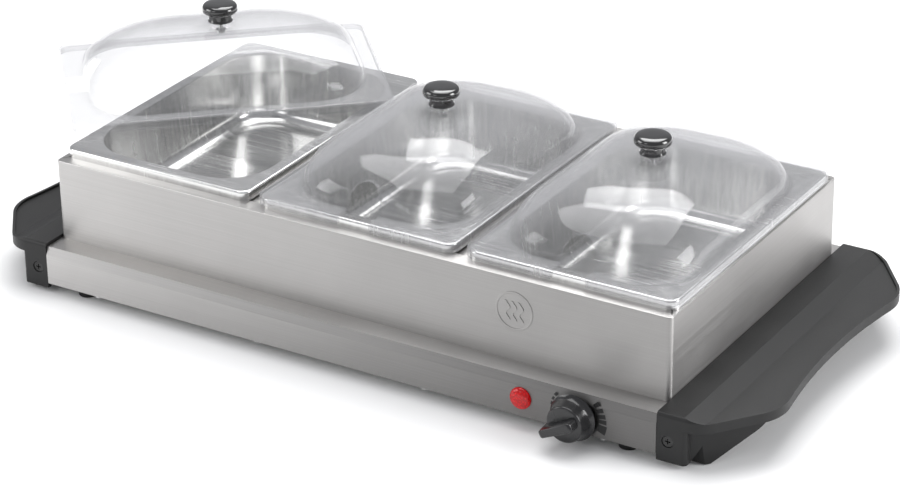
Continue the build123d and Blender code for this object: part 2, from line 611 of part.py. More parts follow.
with BuildPart() as thermostat_tabs:
    with BuildSketch(Plane.XZ.offset(CASE_BACK)):
        with GridLocations(2 * TAB_SPREAD, 0, 2, 1):
            with Locations((DIAL_X, TAB_Z)):
                Rectangle(TAB_WIDTH, TAB_SHEET)
        with Locations((DIAL_X + TAB_SPREAD, TAB_Z + TAB_RISE)):
            Rectangle(TAB_WIDTH, TAB_SHEET)
    extrude(amount=-TAB_LENGTH)
finish(thermostat_tabs, "thermostat_tabs")

KNOB_SKIRT_RADIUS = 18.0
KNOB_FACE_RADIUS = 14.0
KNOB_BACK = TRAY_FRONT + 2.8
KNOB_FACE = KNOB_BACK + 14.0
GRIP_TOP = KNOB_BACK + 25.0
GRIP_WIDTH = 9.0
GRIP_TIP = 16.0
GRIP_TAIL = 12.0
POINTER_ANGLE = 205.0  # from +X towards +Z, seen from the front, at the off position
SHAFT_FRONT = KNOB_BACK + 17.0
FLAT_OFFSET = 1.8

with BuildPart() as thermostat_shaft:
    with BuildSketch(Plane.XZ.offset(SHAFT_BACK)):
        with Locations((DIAL_X, DIAL_Z)):
            Circle(SHAFT_RADIUS)
    extrude(amount=SHAFT_FRONT - SHAFT_BACK)
    with BuildSketch(Plane.XZ.offset(BUSH_END + 1)):
        with Locations((DIAL_X, DIAL_Z + FLAT_OFFSET + SHAFT_RADIUS)):
            Rectangle(4 * SHAFT_RADIUS, 2 * SHAFT_RADIUS)
    extrude(amount=SHAFT_FRONT - BUSH_END, mode=Mode.SUBTRACT)
finish(thermostat_shaft, "thermostat_shaft")

with BuildPart() as control_knob:
    # skirt that narrows to the face
    with BuildSketch(Plane(origin=(DIAL_X, 0, DIAL_Z), x_dir=(1, 0, 0), z_dir=(0, 0, 1))):
        with BuildLine():
            rim = Line((KNOB_SKIRT_RADIUS, -KNOB_BACK), (KNOB_SKIRT_RADIUS, -KNOB_BACK - 1.4))
            flare = ThreePointArc(
                rim @ 1,
                (KNOB_FACE_RADIUS + 1.2, -KNOB_BACK - 5.5),
                (KNOB_FACE_RADIUS, -KNOB_FACE + 1.0),
            )
            Polyline(
                flare @ 1,
                (KNOB_FACE_RADIUS - 1.0, -KNOB_FACE),
                (0, -KNOB_FACE),
                (0, -KNOB_BACK),
                rim @ 0,
            )
        make_face()
    revolve(axis=Axis((DIAL_X, 0, DIAL_Z), (0, 1, 0)))
    # finger scoops on both sides of the grip, then the grip itself
    face_plane = Plane(
        origin=(DIAL_X, -KNOB_FACE, DIAL_Z),
        x_dir=(math.cos(math.radians(POINTER_ANGLE)), 0, math.sin(math.radians(POINTER_ANGLE))),
        z_dir=(0, -1, 0),
    )
    with BuildSketch(face_plane):
        with GridLocations(0, 2 * (GRIP_WIDTH / 2 + 12.0), 1, 2):
            Rectangle(3 * KNOB_FACE_RADIUS, 24.0)
        Circle(KNOB_FACE_RADIUS - 2.0, mode=Mode.INTERSECT)
    extrude(amount=-4.0, mode=Mode.SUBTRACT)
    with BuildSketch(face_plane.offset(-8.0)):
        with Locations(((GRIP_TIP - GRIP_TAIL) / 2, 0)):
            SlotOverall(GRIP_TIP + GRIP_TAIL, GRIP_WIDTH)
    extrude(amount=GRIP_TOP - KNOB_FACE + 8.0, taper=3)
    fillet(control_knob.faces().sort_by(Axis.Y)[0].edges(), 1.2)
    # hollow back over the nut, and the D bore for the shaft
    with BuildSketch(Plane.XZ.offset(KNOB_BACK)):
        with Locations((DIAL_X, DIAL_Z)):
            Circle(KNOB_FACE_RADIUS - 3.0)
            Circle(SHAFT_RADIUS + 3.0, mode=Mode.SUBTRACT)
    extrude(amount=5.0, mode=Mode.SUBTRACT)
    with BuildSketch(Plane.XZ.offset(KNOB_BACK)):
        with Locations((DIAL_X, DIAL_Z)):
            Circle(SHAFT_RADIUS + FIT / 2)
        with Locations((DIAL_X, DIAL_Z + FLAT_OFFSET + FIT / 2 + SHAFT_RADIUS)):
            Rectangle(4 * SHAFT_RADIUS, 2 * SHAFT_RADIUS, mode=Mode.SUBTRACT)
    extrude(amount=SHAFT_FRONT - KNOB_BACK + 0.5, mode=Mode.SUBTRACT)
    # the bore stays round where the shaft is
    with BuildSketch(Plane.XZ.offset(KNOB_BACK)):
        with Locations((DIAL_X, DIAL_Z)):
            Circle(SHAFT_RADIUS + FIT / 2)
    extrude(amount=1.0, mode=Mode.SUBTRACT)
finish(control_knob, "control_knob")

# ================================================================ indicator lamp
LENS_RADIUS = 8.5
LENS_RISE = 4.2
LENS_STEM_BACK = TRAY_FRONT - 8.0
HOLDER_BACK = TRAY_FRONT - 20.0
LEAD_SPREAD = 2.0
LEAD_RADIUS = 0.7
LENS_WALL = 1.2
HOLDER_FLOOR = 2.0
BULB_RADIUS = 3.2
BULB_LENGTH = 12.0
lamp_axis = Axis((LAMP_X, 0, LAMP_Z), (0, 1, 0))

with BuildPart() as indicator_lens:
    with BuildSketch(Plane(origin=(LAMP_X, 0, LAMP_Z), x_dir=(1, 0, 0), z_dir=(0, 0, 1))):
        with BuildLine():
            dome = ThreePointArc(
                (0, -TRAY_FRONT - LENS_RISE),
                (0.62 * LENS_RADIUS, -TRAY_FRONT - 0.80 * LENS_RISE),
                (LENS_RADIUS, -TRAY_FRONT - 0.25 * LENS_RISE),
            )
            Polyline(
                dome @ 1,
                (LENS_RADIUS, -TRAY_FRONT),
                (LENS_STEM_RADIUS, -TRAY_FRONT),
                (LENS_STEM_RADIUS, -LENS_STEM_BACK),
                (LENS_STEM_RADIUS - LENS_WALL, -LENS_STEM_BACK),
                (LENS_STEM_RADIUS - LENS_WALL, -TRAY_FRONT + 1.0),
                (0, -TRAY_FRONT - 1.0),
                dome @ 0,
            )
        make_face()
    revolve(axis=lamp_axis)
finish(indicator_lens, "indicator_lens")

with BuildPart() as lamp_holder:
    with BuildSketch(Plane.XZ.offset(HOLDER_BACK)):
        with Locations((LAMP_X, LAMP_Z)):
            Circle(LENS_RADIUS)
    extrude(amount=WALL_INSIDE - FIT - HOLDER_BACK)
    with BuildSketch(Plane.XZ.offset(HOLDER_BACK + HOLDER_FLOOR)):
        with Locations((LAMP_X, LAMP_Z)):
            Circle(LENS_STEM_RADIUS + FIT)
    extrude(amount=TRAY_FRONT - HOLDER_BACK, mode=Mode.SUBTRACT)
    with BuildSketch(Plane.XZ.offset(HOLDER_BACK)):
        with GridLocations(2 * LEAD_SPREAD, 0, 2, 1):
            with Locations((LAMP_X, LAMP_Z)):
                Circle(LEAD_RADIUS + 2 * FIT)
    extrude(amount=HOLDER_FLOOR, mode=Mode.SUBTRACT)
finish(lamp_holder, "lamp_holder")

with BuildPart() as neon_lamp:
    with BuildSketch(Plane.XZ.offset(HOLDER_BACK + HOLDER_FLOOR + 1.0)):
        with Locations((LAMP_X, LAMP_Z)):
            Circle(BULB_RADIUS)
    extrude(amount=BULB_LENGTH)
    fillet(neon_lamp.faces().sort_by(Axis.Y)[0].edges(), 0.75 * BULB_RADIUS)
finish(neon_lamp, "neon_lamp")

# ================================================================ wiring
FUSE_X = COLD_END + 6.0
FUSE_Y = 26.0
FUSE_LENGTH = 14.0
FUSE_RADIUS = 2.0
FUSE_Z = PANEL_UNDER - FUSE_RADIUS - 0.4
CLIP_LENGTH = 6.0
CLIP_WIDTH = 17.0  # over both feet
CLIP_SHEET = 0.6
CLIP_DROP = 2 * FUSE_RADIUS + CLIP_SHEET + 0.7  # from the panel to the clip's lowest face
BLOCK_X = TRAY_END - 61.0
BLOCK_Y = TRAY_FRONT - 36.4
BLOCK_SIZE = (50.0, 18.0, 14.0)
POLE_PITCH = 12.0
POLE_Z = FOOT_HEIGHT + SHEET + 7.0
BLOCK_FACE = BLOCK_Y - BLOCK_SIZE[1] / 2
POLE_BORE_RADIUS = 1.8
POLE_SCREW_SPACING = 8.0  # front screw to back screw
POLE_SCREW_LENGTH = 5.2
EARTH_X = TRAY_END - 100.0
EARTH_Y = TRAY_FRONT - 37.4
EARTH_BOTTOM = TRAY_TOP - 12.0
WIRE_RADIUS = 1.1

with BuildPart() as thermal_fuse:
    with BuildSketch(Plane.XZ.offset(-FUSE_Y + FUSE_LENGTH / 2)):
        with Locations((FUSE_X, FUSE_Z)):
            Circle(FUSE_RADIUS)
    extrude(amount=-FUSE_LENGTH)
finish(thermal_fuse, "thermal_fuse")

with BuildPart() as fuse_clip:
    with BuildSketch(Plane.XZ.offset(-FUSE_Y + CLIP_LENGTH / 2)):
        with Locations((FUSE_X, PANEL_UNDER)):
            loop_width = 2 * (FUSE_RADIUS + FIT)
            Rectangle(CLIP_WIDTH, CLIP_SHEET, align=(Align.CENTER, Align.MAX))
            Rectangle(loop_width + 2 * CLIP_SHEET, CLIP_DROP, align=(Align.CENTER, Align.MAX))
            Rectangle(
                loop_width, CLIP_DROP - CLIP_SHEET, align=(Align.CENTER, Align.MAX), mode=Mode.SUBTRACT
            )
    extrude(amount=-CLIP_LENGTH)
finish(fuse_clip, "fuse_clip")

with BuildPart() as terminal_block:
    with BuildSketch(Plane.XY.offset(FOOT_HEIGHT + SHEET)):
        with Locations((BLOCK_X, BLOCK_Y)):
            Rectangle(BLOCK_SIZE[0], BLOCK_SIZE[1])
    extrude(amount=BLOCK_SIZE[2])
    chamfer(terminal_block.faces().sort_by(Axis.Z)[-1].edges(), 1.0)
    with BuildSketch(Plane.XZ.offset(-BLOCK_FACE)):
        with GridLocations(POLE_PITCH, 0, 4, 1):
            with Locations((BLOCK_X, POLE_Z)):
                Circle(POLE_BORE_RADIUS)
    extrude(amount=-BLOCK_SIZE[1], mode=Mode.SUBTRACT)
    with BuildSketch(Plane.XY.offset(POLE_Z)):
        with Locations((BLOCK_X, BLOCK_Y)):
            with GridLocations(POLE_PITCH, POLE_SCREW_SPACING, 4, 2):
                Circle(POLE_BORE_RADIUS + FIT)
    extrude(amount=BLOCK_SIZE[2], mode=Mode.SUBTRACT)
finish(terminal_block, "terminal_block")

with BuildPart() as terminal_screws:
    with BuildSketch(Plane.XY.offset(POLE_Z + WIRE_RADIUS)):
        with Locations((BLOCK_X, BLOCK_Y)):
            with GridLocations(POLE_PITCH, POLE_SCREW_SPACING, 4, 2):
                Circle(POLE_BORE_RADIUS)
    extrude(amount=POLE_SCREW_LENGTH)
    with BuildSketch(Plane.XY.offset(POLE_Z + WIRE_RADIUS + POLE_SCREW_LENGTH)):
        with Locations((BLOCK_X, BLOCK_Y)):
            with GridLocations(POLE_PITCH, POLE_SCREW_SPACING, 4, 2):
                Rectangle(4 * POLE_BORE_RADIUS, CROSS_WIDTH)
    extrude(amount=-1.0, mode=Mode.SUBTRACT)
finish(terminal_screws, "terminal_screws")

with BuildPart() as earth_stud:
    with BuildSketch(Plane.XY.offset(PANEL_UNDER)):
        with Locations((EARTH_X, EARTH_Y)):
            Circle(STUD_RADIUS)
    extrude(amount=EARTH_BOTTOM - PANEL_UNDER)
finish(earth_stud, "earth_stud")

EARTH_NUT_TOP = EARTH_BOTTOM + 1.0 + NUT_HEIGHT
with BuildPart() as earth_nut:
    with BuildSketch(Plane.XY.offset(EARTH_NUT_TOP)):
        with Locations((EARTH_X, EARTH_Y)):
            RegularPolygon(NUT_RADIUS, 6, major_radius=False)
            Circle(STUD_RADIUS + RUNNING, mode=Mode.SUBTRACT)
    extrude(amount=-NUT_HEIGHT)
finish(earth_nut, "earth_nut")

RING_SHEET = 0.8
RING_RADIUS = 4.0
RING_TAIL = (3.4, 6.0)
with BuildPart() as earth_ring:
    with BuildSketch(Plane.XY.offset(EARTH_NUT_TOP)):
        with Locations((EARTH_X, EARTH_Y)):
            Circle(RING_RADIUS)
        with Locations((EARTH_X, EARTH_Y - RING_TAIL[1])):
            Rectangle(*RING_TAIL)
        with Locations((EARTH_X, EARTH_Y)):
            Circle(STUD_RADIUS + FIT, mode=Mode.SUBTRACT)
    extrude(amount=RING_SHEET)
finish(earth_ring, "earth_ring")

# Every wire follows its own points: straight runs joined by the largest arcs that fit.
WIRE_GAP = 0.1  # wire end to the face that it meets
LUG_GAP = 0.7  # the earth wire comes to its lug at a slant
POLE_X = [BLOCK_X + step * POLE_PITCH for step in (-1.5, -0.5, 0.5, 1.5)]
TAB_BACK = -CASE_BACK + TAB_LENGTH + WIRE_GAP + WIRE_RADIUS
HEAT_Y = 1.5 * RUN_PITCH


def bend(from_end, depth_share, below_top):
    """A wire's corner, placed from the tray's right end, its half depth and its top."""
    return (TRAY_END - from_end, depth_share * TRAY_FRONT, TRAY_TOP - below_top)


wire_routes = {
    "wire_live": [
        (POLE_X[2], BLOCK_FACE - WIRE_GAP, POLE_Z),
        (POLE_X[2] + 1, BLOCK_FACE - 15, POLE_Z + 0.5),
        bend(45, 0.47, 20),
        bend(34, 0.365, 12),
        bend(28, 0.287, 5),
        (FUSE_X, FUSE_Y + FUSE_LENGTH / 2 + 4 * WIRE_GAP, FUSE_Z),
    ],
    "wire_fused": [
        (FUSE_X, FUSE_Y - FUSE_LENGTH / 2 - 4 * WIRE_GAP, FUSE_Z),
        (FUSE_X - 1, 4, FUSE_Z - 3),
        bend(32, -0.117, 11),
        bend(41, -0.287, 20),
        bend(54, -0.47, 25.5),
        bend(66, -0.626, 26.5),
        (DIAL_X - TAB_SPREAD, TAB_BACK, TAB_Z),
    ],
    "wire_switched": [
        (DIAL_X + TAB_SPREAD, TAB_BACK, TAB_Z),
        (DIAL_X + TAB_SPREAD + 5, TAB_BACK + 9, TAB_Z + 0.5),
        bend(40, -0.678, 21),
        bend(26, -0.665, 16),
        bend(14, -0.639, 9),
        bend(8, -0.587, 3),
        (TAB_END + WIRE_GAP + WIRE_RADIUS, -HEAT_Y, TUBE_Z),
    ],
    "wire_neutral": [
        (POLE_X[3], BLOCK_FACE - WIRE_GAP, POLE_Z),
        (POLE_X[3] + 4, BLOCK_FACE - 8, POLE_Z + 1),
        bend(27, 0.645, 18),
        bend(15, 0.639, 10),
        bend(8, 0.593, 3),
        (TAB_END + WIRE_GAP + WIRE_RADIUS, HEAT_Y, TUBE_Z),
    ],
    "wire_earth": [
        (POLE_X[1], BLOCK_FACE - WIRE_GAP, POLE_Z),
        (POLE_X[1] - 3, BLOCK_FACE - 8, POLE_Z + 1),
        (EARTH_X + 21, BLOCK_FACE - 12, TRAY_TOP - 20),
        (EARTH_X + 9, BLOCK_FACE - 11, TRAY_TOP - 15),
        (EARTH_X + 2, BLOCK_FACE - 7, TRAY_TOP - 10),
        (EARTH_X, EARTH_Y - 9 - LUG_GAP, EARTH_NUT_TOP + RING_SHEET / 2),
    ],
}


def swept_wire(points, radius):
    """A round wire along the points, whose arcs are as large as their two runs allow."""
    runs = [Vector(*b) - Vector(*a) for a, b in zip(points, points[1:])]
    bends = []
    for before, after in zip(runs, runs[1:]):
        half_turn = math.radians(before.get_angle(after)) / 2
        bends.append(0.45 * min(before.length, after.length) / math.tan(half_turn))
    with BuildPart() as wire:
        with BuildLine() as path:
            FilletPolyline(*points, radius=bends)
        with BuildSketch(Plane(origin=path.line @ 0, z_dir=path.line % 0)):
            Circle(radius)
        sweep(path=path.line)
    return wire


for name, points in wire_routes.items():
    finish(swept_wire(points, WIRE_RADIUS), name)

lamp_routes = [
    [
        (LAMP_X + LEAD_SPREAD, -HOLDER_BACK + 2 * WIRE_GAP, LAMP_Z),
        (LAMP_X + LEAD_SPREAD + 2, -HOLDER_BACK + 11.4, LAMP_Z + 0.5),
        (LAMP_X + 12, TAB_BACK + 8.7, LAMP_Z + 2),
        (LAMP_X + 26, TAB_BACK + 13.7, LAMP_Z + 3),
        (DIAL_X - 3, TAB_BACK + 12.7, TAB_Z + TAB_RISE + 0.5),
        (DIAL_X + TAB_SPREAD, TAB_BACK, TAB_Z + TAB_RISE),
    ],
    [
        (LAMP_X - LEAD_SPREAD, -HOLDER_BACK + 2 * WIRE_GAP, LAMP_Z),
        (LAMP_X - LEAD_SPREAD - 2, -HOLDER_BACK + 15.4, LAMP_Z - 2.7),
        bend(115, -0.626, 25),
        bend(116, -0.443, 27.5),
        bend(112, -0.248, 28),
        bend(104, -0.039, 28),
        bend(95, 0.183, 28),
        bend(88, 0.404, 27.5),
        (POLE_X[0] - 2, BLOCK_FACE - 20, POLE_Z - 2),
        (POLE_X[0], BLOCK_FACE - WIRE_GAP, POLE_Z),
    ],
]
leads = [swept_wire(points, LEAD_RADIUS) for points in lamp_routes]
with BuildPart() as lamp_leads:
    for lead in leads:
        add(lead.part)
finish(lamp_leads, "lamp_leads")

GLAND_FLANGE_RADIUS = GLAND_BODY_RADIUS + 2.6
GLAND_FLANGE = 3.0
GLAND_LENGTH = 10.0  # inside the tray
GLAND_CLIP = (GLAND_BODY_RADIUS + 0.8, 2.5)  # radius and length of the ring behind the wall
with BuildPart() as cord_gland:
    with BuildSketch(Plane.XZ.offset(-TRAY_FRONT)):
        with Locations((GLAND_X, GLAND_Z)):
            Circle(GLAND_FLANGE_RADIUS)
    extrude(amount=-GLAND_FLANGE)
    fillet(cord_gland.faces().sort_by(Axis.Y)[-1].edges(), 0.4 * GLAND_FLANGE)
    with BuildSketch(Plane.XZ.offset(-TRAY_FRONT)):
        with Locations((GLAND_X, GLAND_Z)):
            Circle(GLAND_BODY_RADIUS)
    extrude(amount=GLAND_LENGTH)
    with BuildSketch(Plane.XZ.offset(-TRAY_FRONT + SHEET + FIT)):
        with Locations((GLAND_X, GLAND_Z)):
            Circle(GLAND_CLIP[0])
    extrude(amount=GLAND_CLIP[1])
    with BuildSketch(Plane.XZ.offset(-TRAY_FRONT - GLAND_FLANGE)):
        with Locations((GLAND_X, GLAND_Z)):
            Circle(GLAND_BORE_RADIUS)
    extrude(amount=GLAND_FLANGE + GLAND_LENGTH, mode=Mode.SUBTRACT)
finish(cord_gland, "cord_gland")

# ================================================================ frame
FLANGE_INNER_X = (3 * PAN_WIDTH + 2 * PAN_GAP) / 2 - 4.5
FLANGE_INNER_Y = PAN_LENGTH / 2 - 4.5
SLIT_WIDTH = 0.8
FRAME_EDGE = 0.8  # rounding of the folded top edge

with BuildPart() as frame_shell:
    with BuildSketch(Plane.XY.offset(TRAY_TOP)):
        RectangleRounded(FRAME_LENGTH, FRAME_DEPTH, FRAME_RADIUS)
    extrude(amount=FRAME_HEIGHT)
    fillet(frame_shell.faces().sort_by(Axis.Z)[-1].edges(), FRAME_EDGE)
    with BuildSketch(Plane.XY.offset(TRAY_TOP + SHEET)):
        RectangleRounded(FRAME_LENGTH - 2 * SHEET, FRAME_DEPTH - 2 * SHEET, FRAME_RADIUS - SHEET)
    extrude(amount=FRAME_HEIGHT - 2 * SHEET, mode=Mode.SUBTRACT)
    with BuildSketch(Plane.XY.offset(FRAME_TOP - SHEET)):
        Rectangle(2 * FLANGE_INNER_X, 2 * FLANGE_INNER_Y)
    extrude(amount=SHEET, mode=Mode.SUBTRACT)
    with BuildSketch(Plane.XY.offset(TRAY_TOP)):
        foot_opening_x = FRAME_LENGTH - 2 * (SHEET + FRAME_FOOT_FLANGE)
        foot_opening_y = FRAME_DEPTH - 2 * (SHEET + FRAME_FOOT_FLANGE)
        RectangleRounded(foot_opening_x, foot_opening_y, PANEL_RADIUS)
    extrude(amount=SHEET, mode=Mode.SUBTRACT)
    # mitre slits where the top flange's strips meet
    corner_run_x = FRAME_LENGTH / 2 - FLANGE_INNER_X
    corner_run_y = FRAME_DEPTH / 2 - FLANGE_INNER_Y
    slit_angle = math.degrees(math.atan2(corner_run_y, corner_run_x))
    slit_share = 0.6  # of the way from the opening's corner to the frame's
    slit_length = 2 * slit_share * math.hypot(corner_run_x, corner_run_y)
    for sx in (-1, 1):
        for sy in (-1, 1):
            with BuildSketch(Plane.XY.offset(FRAME_TOP - SHEET)):
                with Locations((sx * FLANGE_INNER_X, sy * FLANGE_INNER_Y)):
                    Rectangle(slit_length, SLIT_WIDTH, rotation=sx * sy * slit_angle)
            extrude(amount=SHEET, mode=Mode.SUBTRACT)
finish(frame_shell, "frame_shell")

for side, sx in SIDES.items():
    divider_x = sx * PAN_PITCH / 2
    with BuildPart() as divider:
        with BuildSketch(Plane.XZ.offset(-FRAME_DEPTH / 2 + SHEET + FIT)):
            with Locations((divider_x, FRAME_TOP - SHEET - DIVIDER_HEIGHT / 2)):
                Rectangle(DIVIDER_WIDTH, DIVIDER_HEIGHT)
            with Locations((divider_x, FRAME_TOP - 2 * SHEET - DIVIDER_HEIGHT / 2)):
                Rectangle(DIVIDER_WIDTH - 2 * SHEET, DIVIDER_HEIGHT, mode=Mode.SUBTRACT)
        extrude(amount=FRAME_DEPTH - 2 * SHEET - 2 * FIT)
        fillet(divider.edges().filter_by(Axis.Y).group_by(Axis.Z)[-1], 0.8 * SHEET)
    finish(divider, f"divider_{side}")

# ================================================================ pans
CAVITY_HEADROOM = 2.0  # the cavity's cut starts this far over the rim
for side, pan_x in STATIONS.items():
    with BuildPart() as pan:
        rim_plane = Plane(origin=(pan_x, 0, RIM_TOP))
        with BuildSketch(rim_plane):
            RectangleRounded(PAN_WIDTH, PAN_LENGTH, PAN_RIM_RADIUS)
        extrude(amount=-PAN_SKIRT)
        fillet(pan.faces().sort_by(Axis.Z)[-1].edges(), 1.5)
        with BuildSketch(rim_plane.offset(-PAN_SHEET)):
            lip_inside = PAN_WIDTH - 2 * PAN_SHEET
            RectangleRounded(lip_inside, PAN_LENGTH - 2 * PAN_SHEET, PAN_RIM_RADIUS - PAN_SHEET)
        extrude(amount=-PAN_SKIRT, mode=Mode.SUBTRACT)
        basin_top = rim_plane.offset(-PAN_SHEET / 2)
        with BuildSketch(basin_top):
            basin_radius = PAN_OPENING_RADIUS + PAN_SHEET
            RectangleRounded(OPENING_WIDTH + 2 * PAN_SHEET, OPENING_LENGTH + 2 * PAN_SHEET, basin_radius)
        extrude(amount=-PAN_DEPTH - PAN_SHEET / 2, taper=PAN_TAPER)
        fillet(pan.faces().sort_by(Axis.Z)[0].edges(), PAN_FLOOR_RADIUS + PAN_SHEET)
        cavity_top = rim_plane.offset(CAVITY_HEADROOM)
        with BuildSketch(cavity_top, mode=Mode.PRIVATE) as mouth:
            RectangleRounded(OPENING_WIDTH, OPENING_LENGTH, PAN_OPENING_RADIUS)
        with BuildPart(mode=Mode.PRIVATE) as cavity:
            add(mouth.sketch)
            extrude(amount=-PAN_DEPTH - CAVITY_HEADROOM, taper=PAN_TAPER)
            fillet(cavity.faces().sort_by(Axis.Z)[0].edges(), PAN_FLOOR_RADIUS)
        add(cavity.part, mode=Mode.SUBTRACT)
    finish(pan, f"pan_{side}")

# ================================================================ lids
LID_LENGTH_X = PAN_WIDTH + 2 * LID_OVERHANG
LID_LENGTH_Y = PAN_LENGTH + 2 * LID_OVERHANG
LID_RADIUS = PAN_RIM_RADIUS + LID_OVERHANG
DOME_HALF_X = LID_LENGTH_X / 2 - DOME_BORDER
DOME_HALF_Y = LID_LENGTH_Y / 2 - DOME_FRONT_BORDER
DOME_RADIUS = 45.0
DOME_STEPS = (0.0, 0.35, 0.65, 0.87, 0.97)
COLLAR_RADIUS = 9.0
COLLAR_TOP = KNOB_TOP - 15.0
KNOB_NECK_RADIUS = 10.0
KNOB_DISC_BOTTOM = KNOB_TOP - 8.0
KNOB_SCREW_RADIUS = 2.0
KNOB_SCREW_GRIP = 9.0  # thread inside the knob
KNOB_SCREW_HEAD = (4.0, 2.4)  # radius and height


def dome_solid(seat, wall):
    """The dome's outside, or its inside when a wall is given, over the lid's seat plane."""
    half_x = DOME_HALF_X - wall
    half_y = DOME_HALF_Y - wall
    radius = DOME_RADIUS - wall
    with BuildPart() as dome:
        for step in DOME_STEPS:
            scale = (1 - step**DOME_POWER) ** (1 / DOME_POWER)
            rounder = 0.7 * step * (half_x - radius)
            with BuildSketch(seat.offset(LID_SHEET - wall + step * DOME_HEIGHT)):
                RectangleRounded(2 * half_x * scale, 2 * half_y * scale, (radius + rounder) * scale)
        loft()
    return dome.part


def lid_piece(seat):
    """Clear lid: flange and lip round the pan rim, dome, spoon notch and the knob's collar."""
    front = Plane(origin=seat.origin, x_dir=seat.x_dir, z_dir=-seat.y_dir)
    with BuildPart() as lid:
        with BuildSketch(seat.offset(-LID_LIP)):
            RectangleRounded(LID_LENGTH_X, LID_LENGTH_Y, LID_RADIUS)
        extrude(amount=LID_LIP + LID_SHEET)
        fillet(lid.faces().sort_by(Axis.Z)[-1].edges(), 1.2)
        with BuildSketch(seat.offset(-LID_LIP)):
            inside_x = LID_LENGTH_X - 2 * LID_LIP_WALL
            RectangleRounded(inside_x, LID_LENGTH_Y - 2 * LID_LIP_WALL, LID_RADIUS - LID_LIP_WALL)
        extrude(amount=LID_LIP, mode=Mode.SUBTRACT)
        add(dome_solid(seat, 0.0))
        with BuildSketch(seat.offset(DOME_HEIGHT - 6.0)):
            Circle(COLLAR_RADIUS)
        extrude(amount=COLLAR_TOP - DOME_HEIGHT + 6.0)
        add(dome_solid(seat, LID_SHEET), mode=Mode.SUBTRACT)
        # spoon notch through the flange and up the dome's front
        with BuildSketch(front.offset(LID_LENGTH_Y / 2 + 5)):
            with Locations((0, NOTCH_HEIGHT - NOTCH_WIDTH / 2)):
                Circle(NOTCH_WIDTH / 2)
            with Locations((0, (NOTCH_HEIGHT - NOTCH_WIDTH / 2 - LID_LIP - 5) / 2)):
                Rectangle(NOTCH_WIDTH, NOTCH_HEIGHT - NOTCH_WIDTH / 2 + LID_LIP + 5)
        extrude(amount=-40.0, mode=Mode.SUBTRACT)
        # hole for the knob's screw
        with BuildSketch(seat.offset(DOME_HEIGHT - 10.0)):
            Circle(KNOB_SCREW_RADIUS + 2 * FIT)
        extrude(amount=COLLAR_TOP, mode=Mode.SUBTRACT)
    return lid


def knob_piece(seat):
    """Lid knob: a round disc on a neck, standing on the lid's collar."""
    with BuildPart() as knob:
        with BuildSketch(seat.offset(COLLAR_TOP)):
            Circle(KNOB_NECK_RADIUS)
        extrude(amount=KNOB_DISC_BOTTOM - COLLAR_TOP)
        with BuildSketch(seat.offset(KNOB_DISC_BOTTOM)):
            Circle(KNOB_RADIUS)
        extrude(amount=KNOB_TOP - KNOB_DISC_BOTTOM)
        fillet(knob.faces().sort_by(Axis.Z)[-1].edges(), 3.5)
        fillet(knob.edges().filter_by(GeomType.CIRCLE).group_by(Axis.Z)[1], 2.0)
        with BuildSketch(seat.offset(COLLAR_TOP)):
            Circle(KNOB_SCREW_RADIUS + FIT)
        extrude(amount=KNOB_SCREW_GRIP + 0.5, mode=Mode.SUBTRACT)
    return knob


def screw_piece(seat):
    """The screw that holds the knob, put in from under the dome."""
    head_top = DOME_STEPS[-1] * DOME_HEIGHT
    head_radius, head_height = KNOB_SCREW_HEAD
    with BuildPart() as screw:
        with BuildSketch(seat.offset(head_top)):
            Circle(KNOB_SCREW_RADIUS)
        extrude(amount=COLLAR_TOP - head_top + KNOB_SCREW_GRIP)
        with BuildSketch(seat.offset(head_top)):
            Circle(head_radius)
        extrude(amount=-head_height)
        with BuildSketch(seat.offset(head_top - head_height)):
            Rectangle(head_radius, CROSS_WIDTH)
            Rectangle(CROSS_WIDTH, head_radius)
        extrude(amount=head_height / 2, mode=Mode.SUBTRACT)
    return screw


parked = Plane(
    origin=(-PAN_PITCH + PARKED_LID_SHIFT[0], PARKED_LID_SHIFT[1], RIM_TOP + LID_LIP),
    x_dir=(math.cos(math.radians(PARKED_LID_TURN)), math.sin(math.radians(PARKED_LID_TURN)), 0),
    z_dir=(0, 0, 1),
)
seats = {
    "left": parked,
    "center": Plane(origin=(0, 0, RIM_TOP)),
    "right": Plane(origin=(PAN_PITCH, 0, RIM_TOP)),
}
for side, seat in seats.items():
    finish(lid_piece(seat), f"lid_{side}")
    finish(knob_piece(seat), f"lid_knob_{side}")
    finish(screw_piece(seat), f"lid_screw_{side}")
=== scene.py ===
import json
import math

import bmesh
import bpy
from mathutils import Matrix, Vector


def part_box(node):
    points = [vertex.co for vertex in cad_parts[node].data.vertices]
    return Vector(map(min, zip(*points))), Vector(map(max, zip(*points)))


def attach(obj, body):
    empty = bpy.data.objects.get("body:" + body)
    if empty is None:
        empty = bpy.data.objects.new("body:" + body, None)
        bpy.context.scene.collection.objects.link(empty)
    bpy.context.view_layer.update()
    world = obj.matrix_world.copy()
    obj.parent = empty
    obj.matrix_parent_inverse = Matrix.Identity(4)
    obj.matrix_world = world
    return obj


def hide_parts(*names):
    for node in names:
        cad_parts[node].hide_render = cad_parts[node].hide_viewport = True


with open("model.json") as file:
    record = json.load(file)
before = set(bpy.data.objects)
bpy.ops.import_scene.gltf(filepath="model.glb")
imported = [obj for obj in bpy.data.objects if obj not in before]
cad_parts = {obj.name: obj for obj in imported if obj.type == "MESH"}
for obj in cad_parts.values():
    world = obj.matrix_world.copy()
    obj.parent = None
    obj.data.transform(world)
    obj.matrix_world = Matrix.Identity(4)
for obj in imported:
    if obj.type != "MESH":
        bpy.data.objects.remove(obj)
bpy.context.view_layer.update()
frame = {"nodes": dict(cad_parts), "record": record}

# Electric buffet server: brushed steel tray and frame, lift-off pans, clear lids, dial and lamp.
# Shapes are worked out in millimetres and written in metres.
MM = 0.001
FULL_TURN = 2 * math.pi
